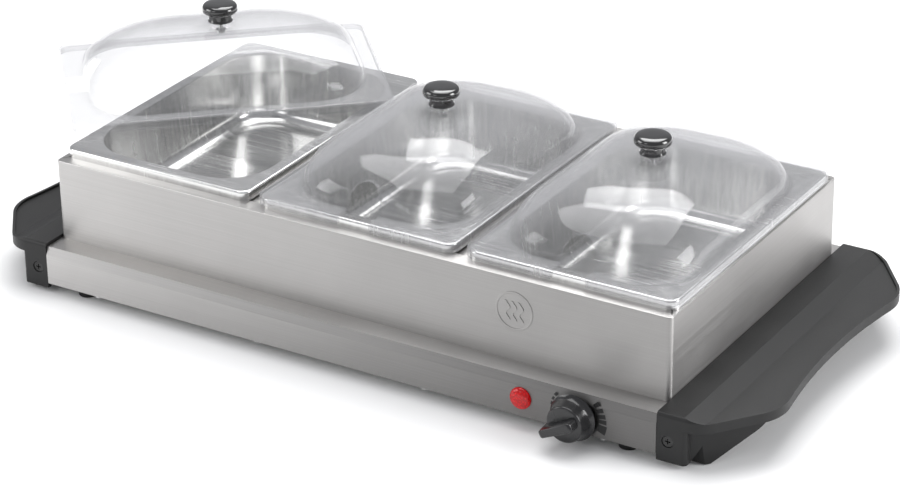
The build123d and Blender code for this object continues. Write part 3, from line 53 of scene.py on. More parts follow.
CORNER_STEPS = 9  # edges in a rounded corner

# ---------------------------------------------------------------- sizes, in millimetres
PAN_HALF_X, PAN_HALF_Y = 84.0, 124.0
PAN_BORDER = 7.0
PAN_DEPTH = 58.0
PAN_SHEET = 0.8
PAN_SKIRT = 7.3
PAN_TAPER = math.tan(math.radians(6.0))
OPENING_RADIUS = 42.0
LID_SHEET = 2.0
LID_LIP = 5.0
LIP_WALL = 1.5
LID_HALF_X, LID_HALF_Y = PAN_HALF_X + 2.0, PAN_HALF_Y + 2.0
DOME_HALF_X, DOME_HALF_Y = LID_HALF_X - 11.0, LID_HALF_Y - 15.0
DOME_HEIGHT = 40.0
DOME_RADIUS = 45.0
DOME_POWER = 2.3
NOTCH_WIDTH, NOTCH_HEIGHT = 28.0, 22.0
COLLAR_TOP = 46.0
KNOB_TOP = 61.0
KNOB_RADIUS = 14.2

low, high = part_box("pan_center")
RIM_TOP = high.z / MM
low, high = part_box("pan_right")
PITCH = (low.x + high.x) / 2 / MM
low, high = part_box("tray_shell")
TRAY_FRONT = low.y / MM
low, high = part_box("frame_shell")
FRAME_FRONT = low.y / MM
low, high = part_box("control_knob")
DIAL_X, DIAL_Z = (low.x + high.x) / 2 / MM, (low.z + high.z) / 2 / MM
DIAL_BACK = high.y / MM
low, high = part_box("indicator_lens")
LAMP_X, LAMP_Z = (low.x + high.x) / 2 / MM, (low.z + high.z) / 2 / MM
low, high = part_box("lid_knob_left")
PARKED = Vector(((low.x + high.x) / 2 / MM, (low.y + high.y) / 2 / MM, RIM_TOP + LID_LIP))
PARKED_TURN = math.radians(-48.5)

DOME_STEPS = 16
NOTCH_MARGIN, NOTCH_REACH = 6.0, 42.0  # how far the notch's cutter starts outside, and how deep it goes
GRIP_LENGTH, GRIP_WIDTH, GRIP_HEIGHT = 29.0, 9.0, 15.5
GRIP_SHIFT, GRIP_LEVEL = 2.5, 16.8  # the grip's middle, along its length and out of the dial
MARK_START, MARK_SWEEP = 165.0, 179.0  # degrees: the first mark, and from there to the last
MARK_INNER, MARK_OUTER, MARK_GROWTH = 18.9, 20.4, 5.2
EMBLEM_X, EMBLEM_Z = 140.2, 78.6
EMBLEM_SINK, RELIEF = 0.2, 0.5  # into the frame's face and out of it
WAVE_PITCH, WAVE_HALF_WIDTH, WAVE_HALF_HEIGHT = 5.5, 0.85, 7.5
WAVE_SWAY, WAVE_RATE = 1.5, 0.62

# ---------------------------------------------------------------- finish and camera values
LEVEL_FACING = 0.7  # a face whose normal rises more than this counts as level
SHADE_START, SHADE_END = -0.26, 0.20  # metres along the front, over which painted shade darkens the steel's colour
FOCAL_LENGTH, SENSOR_WIDTH = 125.565, 36.0


# ================================================================ finishes
class Finish:
    """One material and short ways to add its nodes."""

    def __init__(self, name):
        self.material = bpy.data.materials.new(name)
        self.material.use_nodes = True
        self.tree = self.material.node_tree
        self.tree.nodes.clear()
        self.output = self.node("ShaderNodeOutputMaterial")
        self.place = self.node("ShaderNodeTexCoord").outputs["Object"]

    def node(self, kind, **values):
        made = self.tree.nodes.new(kind)
        for key, value in values.items():
            setattr(made, key, value)
        return made

    def link(self, source, target):
        self.tree.links.new(source, target)

    def stretched(self, scale, turn=(0, 0, 0), shift=(0, 0, 0)):
        mapping = self.node("ShaderNodeMapping")
        mapping.inputs["Scale"].default_value = scale
        mapping.inputs["Rotation"].default_value = turn
        mapping.inputs["Location"].default_value = shift
        self.link(self.place, mapping.inputs["Vector"])
        return mapping.outputs["Vector"]

    def noise(self, scale, detail=3.0, roughness=0.55, stretch=None):
        made = self.node("ShaderNodeTexNoise")
        made.inputs["Scale"].default_value = scale
        made.inputs["Detail"].default_value = detail
        made.inputs["Roughness"].default_value = roughness
        self.link(self.place if stretch is None else self.stretched(stretch), made.inputs["Vector"])
        return made.outputs["Fac"]

    def spread(self, value, low, high, start=0.3, end=0.7):
        made = self.node("ShaderNodeMapRange")
        made.inputs["From Min"].default_value = start
        made.inputs["From Max"].default_value = end
        made.inputs["To Min"].default_value = low
        made.inputs["To Max"].default_value = high
        self.link(value, made.inputs["Value"])
        return made.outputs["Result"]

    def math(self, operation, first, second):
        made = self.node("ShaderNodeMath", operation=operation)
        for index, value in enumerate((first, second)):
            if isinstance(value, (int, float)):
                made.inputs[index].default_value = value
            else:
                self.link(value, made.inputs[index])
        return made.outputs["Value"]

    def blend(self, share, first, second):
        made = self.node("ShaderNodeMix", data_type="RGBA")
        self.link(share, made.inputs["Factor"])
        for key, colour in (("A", first), ("B", second)):
            index = [i for i, s in enumerate(made.inputs) if s.name == key and s.type == "RGBA"][0]
            made.inputs[index].default_value = (*colour, 1.0)
        return [s for s in made.outputs if s.type == "RGBA"][0]

    def bump(self, height, strength, distance):
        made = self.node("ShaderNodeBump")
        made.inputs["Strength"].default_value = strength
        made.inputs["Distance"].default_value = distance
        self.link(height, made.inputs["Height"])
        return made.outputs["Normal"]

    def principled(self, **values):
        made = self.node("ShaderNodeBsdfPrincipled")
        for key, value in values.items():
            target = made.inputs[key.replace("_", " ")]
            if isinstance(value, bpy.types.NodeSocket):
                self.link(value, target)
            else:
                target.default_value = value
        return made.outputs["BSDF"]

    def done(self, shader):
        self.link(shader, self.output.inputs["Surface"])
        return self.material


def brushed_steel(name, dark, light, rough, grain=(5.0, 5.0, 1700.0), flat_grain=(5.0, 1700.0, 5.0),
                  relief=0.10, smudge=0.05, painted_front_shade=1.0, stretch=0.0):
    """Steel with fine grinding lines: one direction on upright faces, another on level ones.

    Painted shade: the front faces' colour darkens towards the dial's end, down to the share given for that
    end.
    """
    f = Finish(name)
    facing = f.node("ShaderNodeSeparateXYZ")
    f.link(f.node("ShaderNodeNewGeometry").outputs["Normal"], facing.inputs["Vector"])
    level = f.math("GREATER_THAN", f.math("ABSOLUTE", facing.outputs["Z"], 0.0), LEVEL_FACING)
    upright_lines = f.noise(1.0, 4.0, 0.7, stretch=grain)
    level_lines = f.noise(1.0, 4.0, 0.7, stretch=flat_grain)
    chosen = f.node("ShaderNodeMix", data_type="FLOAT")
    f.link(level, chosen.inputs["Factor"])
    f.link(upright_lines, chosen.inputs["A"])
    f.link(level_lines, chosen.inputs["B"])
    lines = chosen.outputs["Result"]
    cloud = f.noise(9.0, 5.0, 0.6)
    marks = f.noise(60.0, 6.0, 0.65)
    tone = f.blend(f.spread(lines, 0.0, 1.0, 0.25, 0.75), dark, light)
    # painted shade: the front faces' colour is scaled down along X towards the dial's end
    if painted_front_shade < 1.0:
        where = f.node("ShaderNodeSeparateXYZ")
        f.link(f.place, where.inputs["Vector"])
        along = f.spread(where.outputs["X"], 1.0, painted_front_shade, SHADE_START, SHADE_END)
        front = f.spread(facing.outputs["Y"], 1.0, 0.0, -0.8, -0.3)
        share = f.math("ADD", f.math("MULTIPLY", along, front), f.math("SUBTRACT", 1.0, front))
        scaled = f.node("ShaderNodeVectorMath", operation="SCALE")
        f.link(tone, scaled.inputs[0])
        f.link(share, scaled.inputs["Scale"])
        tone = scaled.outputs["Vector"]
    fine = f.spread(lines, rough - 0.06, rough + 0.07)
    wide = f.spread(cloud, -smudge, smudge)
    spots = f.spread(marks, 0.0, 0.5 * smudge, 0.5, 0.75)
    roughness = f.math("ADD", f.math("ADD", fine, wide), spots)
    normal = f.bump(lines, relief, 0.00012)
    return f.done(f.principled(Base_Color=tone, Metallic=1.0, Roughness=roughness, Normal=normal,
                               Anisotropic=stretch, Anisotropic_Rotation=0.25))


def moulded(name, dark, light, rough, grain_scale, relief, sheen=0.5, coat=0.0, wear=0.06):
    """Moulded plastic, rubber or ceramic with a fine grain and slightly uneven gloss."""
    f = Finish(name)
    grain = f.noise(grain_scale, 2.0, 0.5)
    cloud = f.noise(22.0, 5.0, 0.6)
    tone = f.blend(f.spread(cloud, 0.0, 1.0), dark, light)
    roughness = f.math("ADD", f.spread(cloud, rough - wear, rough + wear), f.spread(grain, -0.03, 0.03))
    normal = f.bump(grain, relief, 0.00015)
    return f.done(f.principled(Base_Color=tone, Roughness=roughness, Normal=normal,
                               Specular_IOR_Level=sheen, Coat_Weight=coat, Coat_Roughness=0.06))


def plated(name, dark, light, rough, scale=90.0, relief=0.05):
    """Small metal parts: plated or plain, with faint mottling."""
    f = Finish(name)
    mottle = f.noise(scale, 5.0, 0.6)
    tone = f.blend(f.spread(mottle, 0.0, 1.0), dark, light)
    roughness = f.spread(mottle, rough - 0.07, rough + 0.09)
    return f.done(f.principled(Base_Color=tone, Metallic=1.0, Roughness=roughness,
                               Normal=f.bump(mottle, relief, 0.0001)))


def clear_lid():
    """Clear moulded plastic: see-through, brighter towards its edges, with a faint haze and specks."""
    f = Finish("clear_lid_plastic")
    haze = f.noise(14.0, 4.0, 0.6)
    specks = f.noise(240.0, 3.0, 0.5)
    edge = f.node("ShaderNodeLayerWeight")
    edge.inputs["Blend"].default_value = 0.38
    share = f.spread(edge.outputs["Facing"], 0.07, 0.62, 0.15, 1.0)
    share = f.math("ADD", share, f.spread(haze, 0.0, 0.02))
    clear = f.node("ShaderNodeBsdfTransparent")
    clear.inputs["Color"].default_value = (0.955, 0.955, 0.958, 1.0)
    tint = f.blend(f.spread(specks, 0.0, 1.0), (0.56, 0.56, 0.57), (0.62, 0.62, 0.63))
    gloss = f.principled(Base_Color=tint, Roughness=f.spread(haze, 0.03, 0.08), Specular_IOR_Level=1.0,
                         Metallic=0.25)
    mixed = f.node("ShaderNodeMixShader")
    f.link(share, mixed.inputs["Fac"])
    f.link(clear.outputs["BSDF"], mixed.inputs[1])
    f.link(gloss, mixed.inputs[2])
    return f.done(mixed.outputs["Shader"])


def red_lens():
    """Red lamp lens: a lit glow behind a clear, finely faceted dome."""
    f = Finish("red_lamp_lens")
    cells = f.node("ShaderNodeTexVoronoi")
    cells.inputs["Scale"].default_value = 620.0
    f.link(f.place, cells.inputs["Vector"])
    facets = f.spread(cells.outputs["Distance"], 0.0, 1.0, 0.0, 0.6)
    tone = f.blend(facets, (0.70, 0.006, 0.010), (0.26, 0.002, 0.004))
    return f.done(f.principled(Base_Color=tone, Roughness=f.spread(facets, 0.08, 0.2, 0.0, 1.0),
                               Normal=f.bump(facets, 0.35, 0.0003), Emission_Color=(1.0, 0.01, 0.01, 1.0),
                               Emission_Strength=0.16, Specular_IOR_Level=0.25, Coat_Weight=0.35,
                               Coat_Roughness=0.03))


finishes = {
    # frame and tray fronts carry painted shade towards the dial's end; the tray's is deeper
    "frame_steel": brushed_steel("brushed_frame_steel", (0.46, 0.45, 0.44), (0.56, 0.55, 0.54), 0.42,
                                 painted_front_shade=0.72, stretch=0.7),
    "tray_steel": brushed_steel("brushed_tray_steel", (0.46, 0.45, 0.44), (0.56, 0.55, 0.54), 0.42,
                                painted_front_shade=0.36, stretch=0.7),
    "pan_steel": brushed_steel("satin_pan_steel", (0.66, 0.66, 0.655), (0.80, 0.80, 0.79), 0.20,
                               grain=(260.0, 260.0, 5.0), flat_grain=(6.0, 500.0, 6.0), relief=0.012),
    "zinc_steel": plated("zinc_plated_steel", (0.48, 0.48, 0.46), (0.66, 0.66, 0.63), 0.34),
    "screw_steel": plated("nickel_screws", (0.55, 0.55, 0.55), (0.72, 0.72, 0.72), 0.22),
    "handle_plastic": moulded("charcoal_handle_plastic", (0.014, 0.014, 0.014), (0.021, 0.021, 0.021),
                              0.46, 2600.0, 0.22, sheen=0.32),
    "foot_rubber": moulded("foot_rubber", (0.012, 0.012, 0.012), (0.022, 0.022, 0.022), 0.72, 1800.0, 0.3,
                           sheen=0.3),
    "heater_steel": plated("heated_sheath_steel", (0.16, 0.14, 0.13), (0.34, 0.30, 0.26), 0.42, 60.0),
    "reflector_aluminium": plated("bright_aluminium", (0.74, 0.74, 0.75), (0.84, 0.84, 0.85), 0.2, 30.0),
    "insulator_ceramic": moulded("steatite_ceramic", (0.70, 0.67, 0.60), (0.80, 0.78, 0.72), 0.55, 900.0,
                                 0.1),
    "thermostat_case": moulded("phenolic_case", (0.07, 0.035, 0.02), (0.11, 0.06, 0.035), 0.35, 700.0, 0.1),
    "tab_brass": plated("tinned_brass", (0.62, 0.48, 0.22), (0.76, 0.63, 0.36), 0.28),
    "lens_red": red_lens(),
    "holder_nylon": moulded("natural_nylon", (0.66, 0.65, 0.58), (0.76, 0.75, 0.69), 0.4, 800.0, 0.08),
    "lamp_glass": moulded("neon_bulb_glass", (0.85, 0.55, 0.40), (0.95, 0.70, 0.55), 0.08, 300.0, 0.02,
                          coat=1.0, wear=0.02),
    "fuse_aluminium": plated("fuse_case", (0.60, 0.60, 0.61), (0.72, 0.72, 0.73), 0.3),
    "wire_brown": moulded("brown_sleeve", (0.10, 0.035, 0.015), (0.15, 0.06, 0.03), 0.5, 900.0, 0.1),
    "wire_blue": moulded("blue_sleeve", (0.012, 0.05, 0.26), (0.02, 0.08, 0.36), 0.5, 900.0, 0.1),
    "wire_green": moulded("green_sleeve", (0.03, 0.20, 0.03), (0.06, 0.30, 0.05), 0.5, 900.0, 0.1),
    "gland_nylon": moulded("black_nylon", (0.010, 0.010, 0.010), (0.018, 0.018, 0.018), 0.45, 1200.0, 0.12),
    "dial_plastic": moulded("gloss_dial_plastic", (0.013, 0.013, 0.014), (0.020, 0.020, 0.021), 0.20, 900.0,
                            0.03, sheen=0.4, coat=0.25, wear=0.04),
    "lid_clear": clear_lid(),
    "knob_black": moulded("black_knob_gloss", (0.003, 0.003, 0.003), (0.006, 0.006, 0.006), 0.10, 400.0, 0.01,
                          sheen=0.6, coat=1.0, wear=0.03),
}
black_screws = plated("black_oxide_screws", (0.03, 0.03, 0.03), (0.07, 0.07, 0.07), 0.32)
printed_black = moulded("printed_black", (0.006, 0.006, 0.006), (0.012, 0.012, 0.012), 0.5, 1500.0, 0.15)

for row in frame["record"]["subparts"]:
    node = frame["nodes"][row["node"]]
    node.data.materials.clear()
    node.data.materials.append(finishes[row["material_slot"]])
frame["nodes"]["handle_screws"].data.materials[0] = black_screws


# ================================================================ mesh tools
def piece(name, shape, body, slot_name, stands_for=(), place=None, finish=None, sharp=35.0):
    """Writes a bmesh, in millimetres, as a finished piece on its body."""
    if place is not None:
        bmesh.ops.transform(shape, matrix=place, verts=shape.verts)
    bmesh.ops.scale(shape, vec=(MM, MM, MM), verts=shape.verts)
    bmesh.ops.recalc_face_normals(shape, faces=shape.faces)
    mesh = bpy.data.meshes.new(name)
    shape.to_mesh(mesh)
    shape.free()
    mesh.shade_smooth()
    mesh.set_sharp_from_angle(angle=math.radians(sharp))
    made = bpy.data.objects.new(name, mesh)
    bpy.context.scene.collection.objects.link(made)
    made.data.materials.append(finish or finishes[slot_name])
    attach(made, body)
    if stands_for:
        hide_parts(*stands_for)


def ring(shape, half_x, half_y, radius, level, steps=CORNER_STEPS):
    """The edges of a level rounded rectangle."""
    old_edges, old_faces = set(shape.edges), set(shape.faces)
    corners = bmesh.ops.create_grid(shape, x_segments=1, y_segments=1, size=1.0)["verts"]
    bmesh.ops.scale(shape, vec=(half_x, half_y, 1.0), verts=corners)
    bmesh.ops.translate(shape, vec=(0, 0, level), verts=corners)
    bmesh.ops.bevel(shape, geom=corners, affect="VERTICES", offset=radius, offset_type="OFFSET",
                    segments=steps, profile=0.5, material=-1, clamp_overlap=False)
    bmesh.ops.delete(shape, geom=[f for f in shape.faces if f not in old_faces], context="FACES_ONLY")
    return [e for e in shape.edges if e not in old_edges]


def joined(shape, rings):
    """Bridges each ring to the next one, held apart meanwhile so that level pairs don't twist."""
    apart = Vector((0, 0, 100.0))
    for first, second in zip(rings, rings[1:]):
        verts = list({v for e in second for v in e.verts})
        bmesh.ops.translate(shape, vec=apart, verts=verts)
        bmesh.ops.bridge_loops(shape, edges=first + second)
        bmesh.ops.translate(shape, vec=-apart, verts=verts)


def capped(shape, edges):
    bmesh.ops.contextual_create(shape, geom=edges)


def arc(centre, radius, start, end, steps):
    """Points on an arc of a section, from start to end degrees."""
    angles = [math.radians(start + (end - start) * i / steps) for i in range(steps + 1)]
    return [(centre[0] + radius * math.cos(a), centre[1] + radius * math.sin(a)) for a in angles]


def turned(points, steps=64):
    """A closed solid: the section's (radius, height) points spun about Z."""
    shape = bmesh.new()
    verts = [shape.verts.new((max(r, 0.0), 0, z)) for r, z in points]
    edges = [shape.edges.new(pair) for pair in zip(verts, verts[1:])]
    bmesh.ops.spin(shape, geom=verts + edges, cent=(0, 0, 0), axis=(0, 0, 1), angle=FULL_TURN,
                   steps=steps, use_merge=True)
    bmesh.ops.remove_doubles(shape, verts=shape.verts, dist=0.001)
    return shape


# ================================================================ pans
def pan_shape():
    """A deep-drawn pan: folded lip, flat rim, rolled edge, slightly tapered wall, round floor."""
    rolled, floor_bend = 3.0, 13.0
    inner_x, inner_y = PAN_HALF_X - PAN_BORDER, PAN_HALF_Y - PAN_BORDER

    def bowl(out, down, thick):
        """Section of the bowl from the rim's inner edge to the floor, as inset and level."""
        bend = floor_bend - thick
        section = arc((-rolled, -rolled), rolled, 90, 0, 5)
        section = [(x, z + down) for x, z in section]
        wall_end = -PAN_DEPTH + down + bend
        slope = -PAN_TAPER * (PAN_DEPTH - bend - rolled)
        section.append((slope * 0.5, wall_end * 0.5))
        section += [(slope + x, wall_end + z) for x, z in arc((-bend, 0), bend, 0, -90, 7)]
        return [(x + out, z) for x, z in section]

    inside = bowl(0.0, 0.0, 0.0)
    outside = [(x + PAN_SHEET, z - PAN_SHEET) for x, z in inside]
    shape = bmesh.new()
    rings = []
    for x, z in reversed(inside):
        rings.append(ring(shape, inner_x + x, inner_y + x, OPENING_RADIUS + x, RIM_TOP + z))
    fold = 1.6
    border = [(PAN_BORDER - fold * 2.2, 0.0)]
    border += [(PAN_BORDER - fold + x, -fold + z) for x, z in arc((0, 0), fold, 90, 0, 5)]
    border += [(PAN_BORDER, -PAN_SKIRT), (PAN_BORDER - PAN_SHEET, -PAN_SKIRT)]
    border += [(PAN_BORDER - PAN_SHEET, -fold), (PAN_BORDER - fold, -PAN_SHEET)]
    for x, z in border:
        rings.append(ring(shape, inner_x + x, inner_y + x, 8.0 + x - PAN_BORDER + 0.5, RIM_TOP + z))
    for x, z in outside:
        rings.append(ring(shape, inner_x + x, inner_y + x, OPENING_RADIUS + x, RIM_TOP + z))
    joined(shape, rings)
    capped(shape, rings[0])
    capped(shape, rings[-1])
    return shape


for side, x in (("left", -PITCH), ("center", 0.0), ("right", PITCH)):
    piece(f"drawn_pan_{side}", pan_shape(), f"pan_{side}", "pan_steel", [f"pan_{side}"],
          place=Matrix.Translation((x, 0, 0)))


# ================================================================ lids
def notch_cutter():
    """An arch that goes in through the flange and up the dome's front."""
    shape = bmesh.new()
    half, straight = NOTCH_WIDTH / 2, NOTCH_HEIGHT - NOTCH_WIDTH / 2
    outline = [(-half, -LID_LIP - NOTCH_MARGIN), (half, -LID_LIP - NOTCH_MARGIN)]
    outline += [(x, z + straight) for x, z in arc((0, 0), half, 0, 180, 16)]
    verts = [shape.verts.new((x, -LID_HALF_Y - NOTCH_MARGIN, z)) for x, z in outline]
    face = shape.faces.new(verts)
    grown = bmesh.ops.extrude_face_region(shape, geom=[face])
    moved = [g for g in grown["geom"] if isinstance(g, bmesh.types.BMVert)]
    bmesh.ops.translate(shape, vec=(0, NOTCH_REACH, 0), verts=moved)
    bmesh.ops.recalc_face_normals(shape, faces=shape.faces)
    return shape


def loose(name, shape):
    """A helper object that is used by a modifier and then removed."""
    mesh = bpy.data.meshes.new(name)
    shape.to_mesh(mesh)
    shape.free()
    made = bpy.data.objects.new(name, mesh)
    bpy.context.scene.collection.objects.link(made)
    return made


def dome_rings(inset):
    """Sections of the dome from its foot to its crown: half sizes, corner radius and level."""
    foot = LID_SHEET - inset
    sections = []
    for i in range(DOME_STEPS + 1):
        angle = math.radians(86.0) * i / DOME_STEPS
        rise = math.sin(angle) ** (2 / DOME_POWER)
        share = math.cos(angle) ** (2 / DOME_POWER)
        half_x, half_y = DOME_HALF_X - inset, DOME_HALF_Y - inset
        radius = DOME_RADIUS - inset
        radius += 0.7 * rise * (half_x - radius)
        sections.append((half_x * share, half_y * share, radius * share, foot + rise * DOME_HEIGHT))
    return sections


def lid_shape():
    """Flange, lip, dome and collar as one clear wall, with the spoon notch cut out."""
    shape = bmesh.new()
    edge = 1.2
    sections = [(LID_HALF_X - LIP_WALL, LID_HALF_Y - LIP_WALL, 10.0 - LIP_WALL, z) for z in (-LID_LIP, 0.0)]
    sections = (sections + dome_rings(LID_SHEET))[::-1]
    lip = [(0.0, -LID_LIP)]
    lip += [(-edge + x, LID_SHEET - edge + z) for x, z in arc((0, 0), edge, 0, 90, 4)]
    sections += [(LID_HALF_X + x, LID_HALF_Y + x, 10.0 + x, z) for x, z in lip]
    sections += dome_rings(0.0)
    collar = [(9.4, DOME_HEIGHT + 2.4), (9.0, DOME_HEIGHT + 3.2), (9.0, COLLAR_TOP - 0.6), (8.4, COLLAR_TOP)]
    sections += [(radius, radius, radius * 0.999, level) for radius, level in collar]
    rings = [ring(shape, *section) for section in sections]
    joined(shape, rings)
    capped(shape, rings[0])
    capped(shape, rings[-1])
    bmesh.ops.recalc_face_normals(shape, faces=shape.faces)
    whole, cutter = loose("lid_whole", shape), loose("lid_cutter", notch_cutter())
    cut = whole.modifiers.new("notch", "BOOLEAN")
    cut.operation, cut.solver, cut.object = "DIFFERENCE", "EXACT", cutter
    depsgraph = bpy.context.evaluated_depsgraph_get()
    mesh = bpy.data.meshes.new_from_object(whole.evaluated_get(depsgraph))
    result = bmesh.new()
    result.from_mesh(mesh)
    for helper in (whole, cutter):
        bpy.data.objects.remove(helper)
    return result


def knob_shape():
    """Round knob: neck, wide disc with a rolled edge and a slightly crowned top."""
    disc_low = KNOB_TOP - 8.0
    points = [(0.0, COLLAR_TOP + 0.1), (10.0, COLLAR_TOP + 0.1), (10.0, COLLAR_TOP + 1.0)]
    points += [(9.2, COLLAR_TOP + 2.0), (9.0, disc_low - 1.5)]
    points += arc((11.0, disc_low - 1.2), 1.4, 170, 90, 4)
    points += arc((KNOB_RADIUS - 2.6, disc_low + 2.6), 2.6, -90, 0, 6)
    points += arc((KNOB_RADIUS - 3.6, KNOB_TOP - 4.0), 3.6, 0, 72, 8)
    points += [(8.0, KNOB_TOP - 0.12), (4.0, KNOB_TOP - 0.03), (0.0, KNOB_TOP)]
    return turned(points)


seats = {
    "left": Matrix.Translation(PARKED) @ Matrix.Rotation(PARKED_TURN, 4, "Z"),
    "center": Matrix.Translation((0, 0, RIM_TOP)),
    "right": Matrix.Translation((PITCH, 0, RIM_TOP)),
}
for side, seat in seats.items():
    piece(f"clear_dome_{side}", lid_shape(), f"lid_{side}", "lid_clear", [f"lid_{side}"], place=seat)
    piece(f"round_knob_{side}", knob_shape(), f"lid_{side}", "knob_black", [f"lid_knob_{side}"], place=seat)

# ================================================================ dial
TO_FRONT = Matrix.Rotation(math.radians(90.0), 4, "X")  # a turned piece's axis, out of the front
dial_seat = Matrix.Translation((DIAL_X, DIAL_BACK, DIAL_Z)) @ TO_FRONT
POINTER = math.radians(205.0)


def dial_shape():
    """Dial: thin skirt and round barrel; its tall finger grip, which tapers to a pointer, is made apart."""
    points = [(0.0, 0.0), (17.4, 0.0), (18.0, 0.5), (18.0, 1.2), (17.3, 1.8)]
    points += [(15.9, 3.4), (15.2, 5.6), (14.7, 9.0), (14.2, 12.4)]
    points += arc((12.6, 12.4), 1.5, 0, 80, 4)
    points += [(8.0, 14.1), (0.0, 14.2)]
    return turned(points, 72)


def grip_shape():
    """The dial's finger grip: a rounded bar that narrows to its pointer end and to its top."""
    shape = bmesh.new()
    made = bmesh.ops.create_cube(shape, size=1.0)["verts"]
    bmesh.ops.scale(shape, vec=(GRIP_LENGTH, GRIP_WIDTH, GRIP_HEIGHT), verts=made)
    bmesh.ops.translate(shape, vec=(GRIP_SHIFT, 0, GRIP_LEVEL), verts=made)
    top = [v for v in shape.verts if v.co.z > 17.0]
    bmesh.ops.scale(shape, vec=(0.93, 0.80, 1.0), verts=top)
    tip = [v for v in shape.verts if v.co.x > 10.0]
    bmesh.ops.scale(shape, vec=(1.0, 0.82, 1.0), verts=tip)
    tail_top = [v for v in top if v.co.x < 0]
    bmesh.ops.translate(shape, vec=(0, 0, -1.4), verts=tail_top)
    bmesh.ops.bevel(shape, geom=[e for e in shape.edges if abs(e.verts[0].co.x - e.verts[1].co.x) < 3.0],
                    affect="EDGES", offset=2.6, offset_type="OFFSET", segments=5, profile=0.5, material=-1)
    rim = [e for e in shape.edges if len(e.link_faces) == 2 and e.calc_face_angle(0) > 0.6]
    bmesh.ops.bevel(shape, geom=rim, affect="EDGES", offset=0.7, offset_type="OFFSET", segments=3,
                    profile=0.5, material=-1)
    return shape


piece("dial_barrel", dial_shape(), "dial", "dial_plastic", ["control_knob"], place=dial_seat)
piece("dial_grip", grip_shape(), "dial", "dial_plastic",
      place=dial_seat @ Matrix.Rotation(POINTER, 4, "Z"))


def dial_marks():
    """Printed wedges round the dial that grow clockwise, then one large block."""
    shape = bmesh.new()
    marks = [(MARK_START, 8.0), (152.5, 8.0), (140.0, 8.0)]
    marks += [(37.0, 8.5), (24.0, 8.5), (12.0, 8.5), (1.5, 8.5), (-14.0, 17.0)]
    for middle, width in marks:
        share = (MARK_START - middle) / MARK_SWEEP
        outer = MARK_OUTER + MARK_GROWTH * share
        start = math.radians(middle - width / 2)
        verts = [shape.verts.new((r * math.cos(start), r * math.sin(start), 0.05))
                 for r in (MARK_INNER, outer)]
        edge = shape.edges.new(verts)
        bmesh.ops.spin(shape, geom=verts + [edge], cent=(0, 0, 0), axis=(0, 0, 1),
                       angle=math.radians(width), steps=4)
    bmesh.ops.recalc_face_normals(shape, faces=shape.faces)
    bmesh.ops.solidify(shape, geom=list(shape.faces), thickness=0.12)
    return shape


print_seat = Matrix.Translation((DIAL_X, TRAY_FRONT, DIAL_Z)) @ TO_FRONT
piece("dial_marks", dial_marks(), "tray", "gland_nylon", place=print_seat, finish=printed_black)

# ================================================================ lamp lens
lens_points = [(0.0, -7.8), (5.4, -7.8), (6.7, -7.8), (6.7, 0.05), (8.5, 0.05), (8.5, 0.9)]
lens_points += [(8.25, 1.5), (7.5, 2.5), (6.2, 3.3), (4.4, 3.85), (2.2, 4.12), (0.0, 4.2)]
piece("lamp_dome", turned(lens_points), "tray", "lens_red", ["indicator_lens"],
      place=Matrix.Translation((LAMP_X, TRAY_FRONT, LAMP_Z)) @ TO_FRONT)

# ================================================================ heat emblem on the frame
emblem_seat = Matrix.Translation((EMBLEM_X, FRAME_FRONT, EMBLEM_Z)) @ TO_FRONT


def emblem_shape():
    """A raised ring round three rising heat waves."""
    shape = turned([(13.6, -EMBLEM_SINK), (13.6, 0.3), (14.0, RELIEF), (15.0, RELIEF), (15.4, 0.3),
                    (15.4, -EMBLEM_SINK), (13.6, -EMBLEM_SINK)], 72)
    for x in (-WAVE_PITCH, 0.0, WAVE_PITCH):
        made = bmesh.ops.create_grid(shape, x_segments=1, y_segments=24, size=1.0)["verts"]
        bmesh.ops.scale(shape, vec=(WAVE_HALF_WIDTH, WAVE_HALF_HEIGHT, 1.0), verts=made)
        for v in made:
            v.co.x += x + WAVE_SWAY * math.sin(v.co.y * WAVE_RATE)
            v.co.z = -EMBLEM_SINK
        wave = {f for v in made for f in v.link_faces}
        grown = bmesh.ops.extrude_face_region(shape, geom=list(wave))
        raised = [g for g in grown["geom"] if isinstance(g, bmesh.types.BMVert)]
        bmesh.ops.translate(shape, vec=(0, 0, EMBLEM_SINK + RELIEF), verts=raised)
    return shape


piece("heat_emblem", emblem_shape(), "frame", "frame_steel", place=emblem_seat)


# ================================================================ camera, floor and light
def aim(thing, place, target):
    thing.location = place
    thing.rotation_mode = "QUATERNION"
    thing.rotation_quaternion = (Vector(target) - Vector(place)).to_track_quat("-Z", "Y")


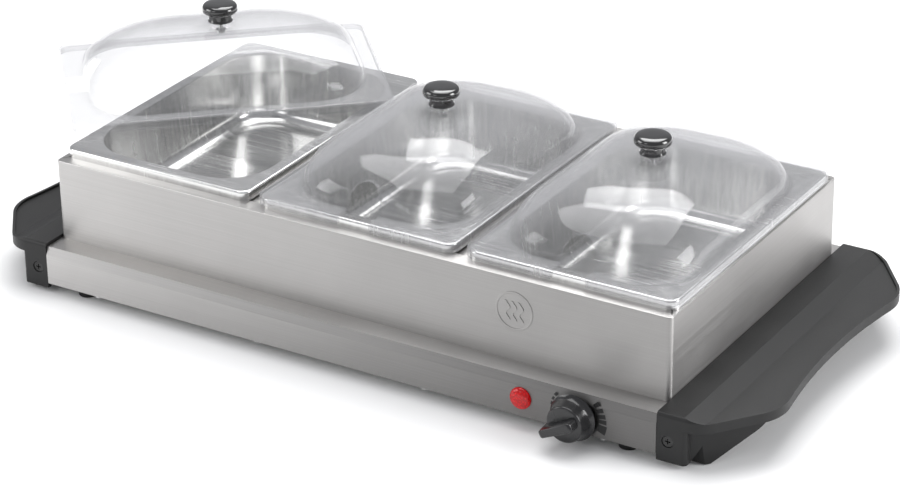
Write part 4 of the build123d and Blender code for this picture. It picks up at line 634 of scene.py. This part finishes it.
AZIMUTH, ELEVATION, ROLL = math.radians(31.570), math.radians(26.048), math.radians(-0.8025)
DISTANCE = 2.40355
TARGET = Vector((0.005727, 0.0, 0.04103))
back = Vector((math.sin(AZIMUTH) * math.cos(ELEVATION), -math.cos(AZIMUTH) * math.cos(ELEVATION),
               math.sin(ELEVATION)))
camera = bpy.data.objects.new("camera", bpy.data.cameras.new("camera"))
camera.data.sensor_width = SENSOR_WIDTH
camera.data.lens = FOCAL_LENGTH
camera.data.clip_start, camera.data.clip_end = 0.05, 60.0
aim(camera, TARGET + back * DISTANCE, TARGET)
camera.rotation_quaternion = camera.rotation_quaternion @ Matrix.Rotation(ROLL, 4, "Z").to_quaternion()
bpy.context.scene.collection.objects.link(camera)
bpy.context.scene.camera = camera

floor_shape = bmesh.new()
bmesh.ops.create_grid(floor_shape, x_segments=4, y_segments=4, size=6.0)
floor = loose("floor", floor_shape)
floor_finish = Finish("pale_floor")
floor_tone = floor_finish.blend(floor_finish.noise(3.0), (0.90, 0.90, 0.90), (0.92, 0.92, 0.92))
floor.data.materials.append(floor_finish.done(floor_finish.principled(Base_Color=floor_tone, Roughness=0.9,
                                                                      Specular_IOR_Level=0.1)))


def softbox(name, place, target, size_x, size_y, power):
    lamp = bpy.data.lights.new(name, "AREA")
    lamp.shape = "RECTANGLE"
    lamp.size, lamp.size_y = size_x, size_y
    lamp.energy = power
    made = bpy.data.objects.new(name, lamp)
    aim(made, place, target)
    bpy.context.scene.collection.objects.link(made)


softbox("top_light", (-0.2, 0.5, 2.2), (0, 0, 0), 2.2, 1.6, 40.0)
softbox("back_light", (-0.4, 1.7, 2.3), (0, 0, 0.05), 2.0, 0.9, 26.0)
softbox("left_light", (-1.25, -0.85, 0.75), (0, 0, 0.05), 0.85, 0.8, 8.0)
softbox("right_light", (2.1, 0.5, 0.9), (0, 0, 0.05), 0.9, 1.3, 30.0)
softbox("front_light", (-0.6, -2.6, 1.5), (0, 0, 0.05), 0.9, 0.7, 5.0)

world = bpy.data.worlds.new("studio")
bpy.context.scene.world = world
world.use_nodes = True
world.node_tree.nodes["Background"].inputs["Color"].default_value = (0.95, 0.96, 1.0, 1.0)
world.node_tree.nodes["Background"].inputs["Strength"].default_value = 0.45
bpy.context.scene.view_settings.view_transform = "Standard"
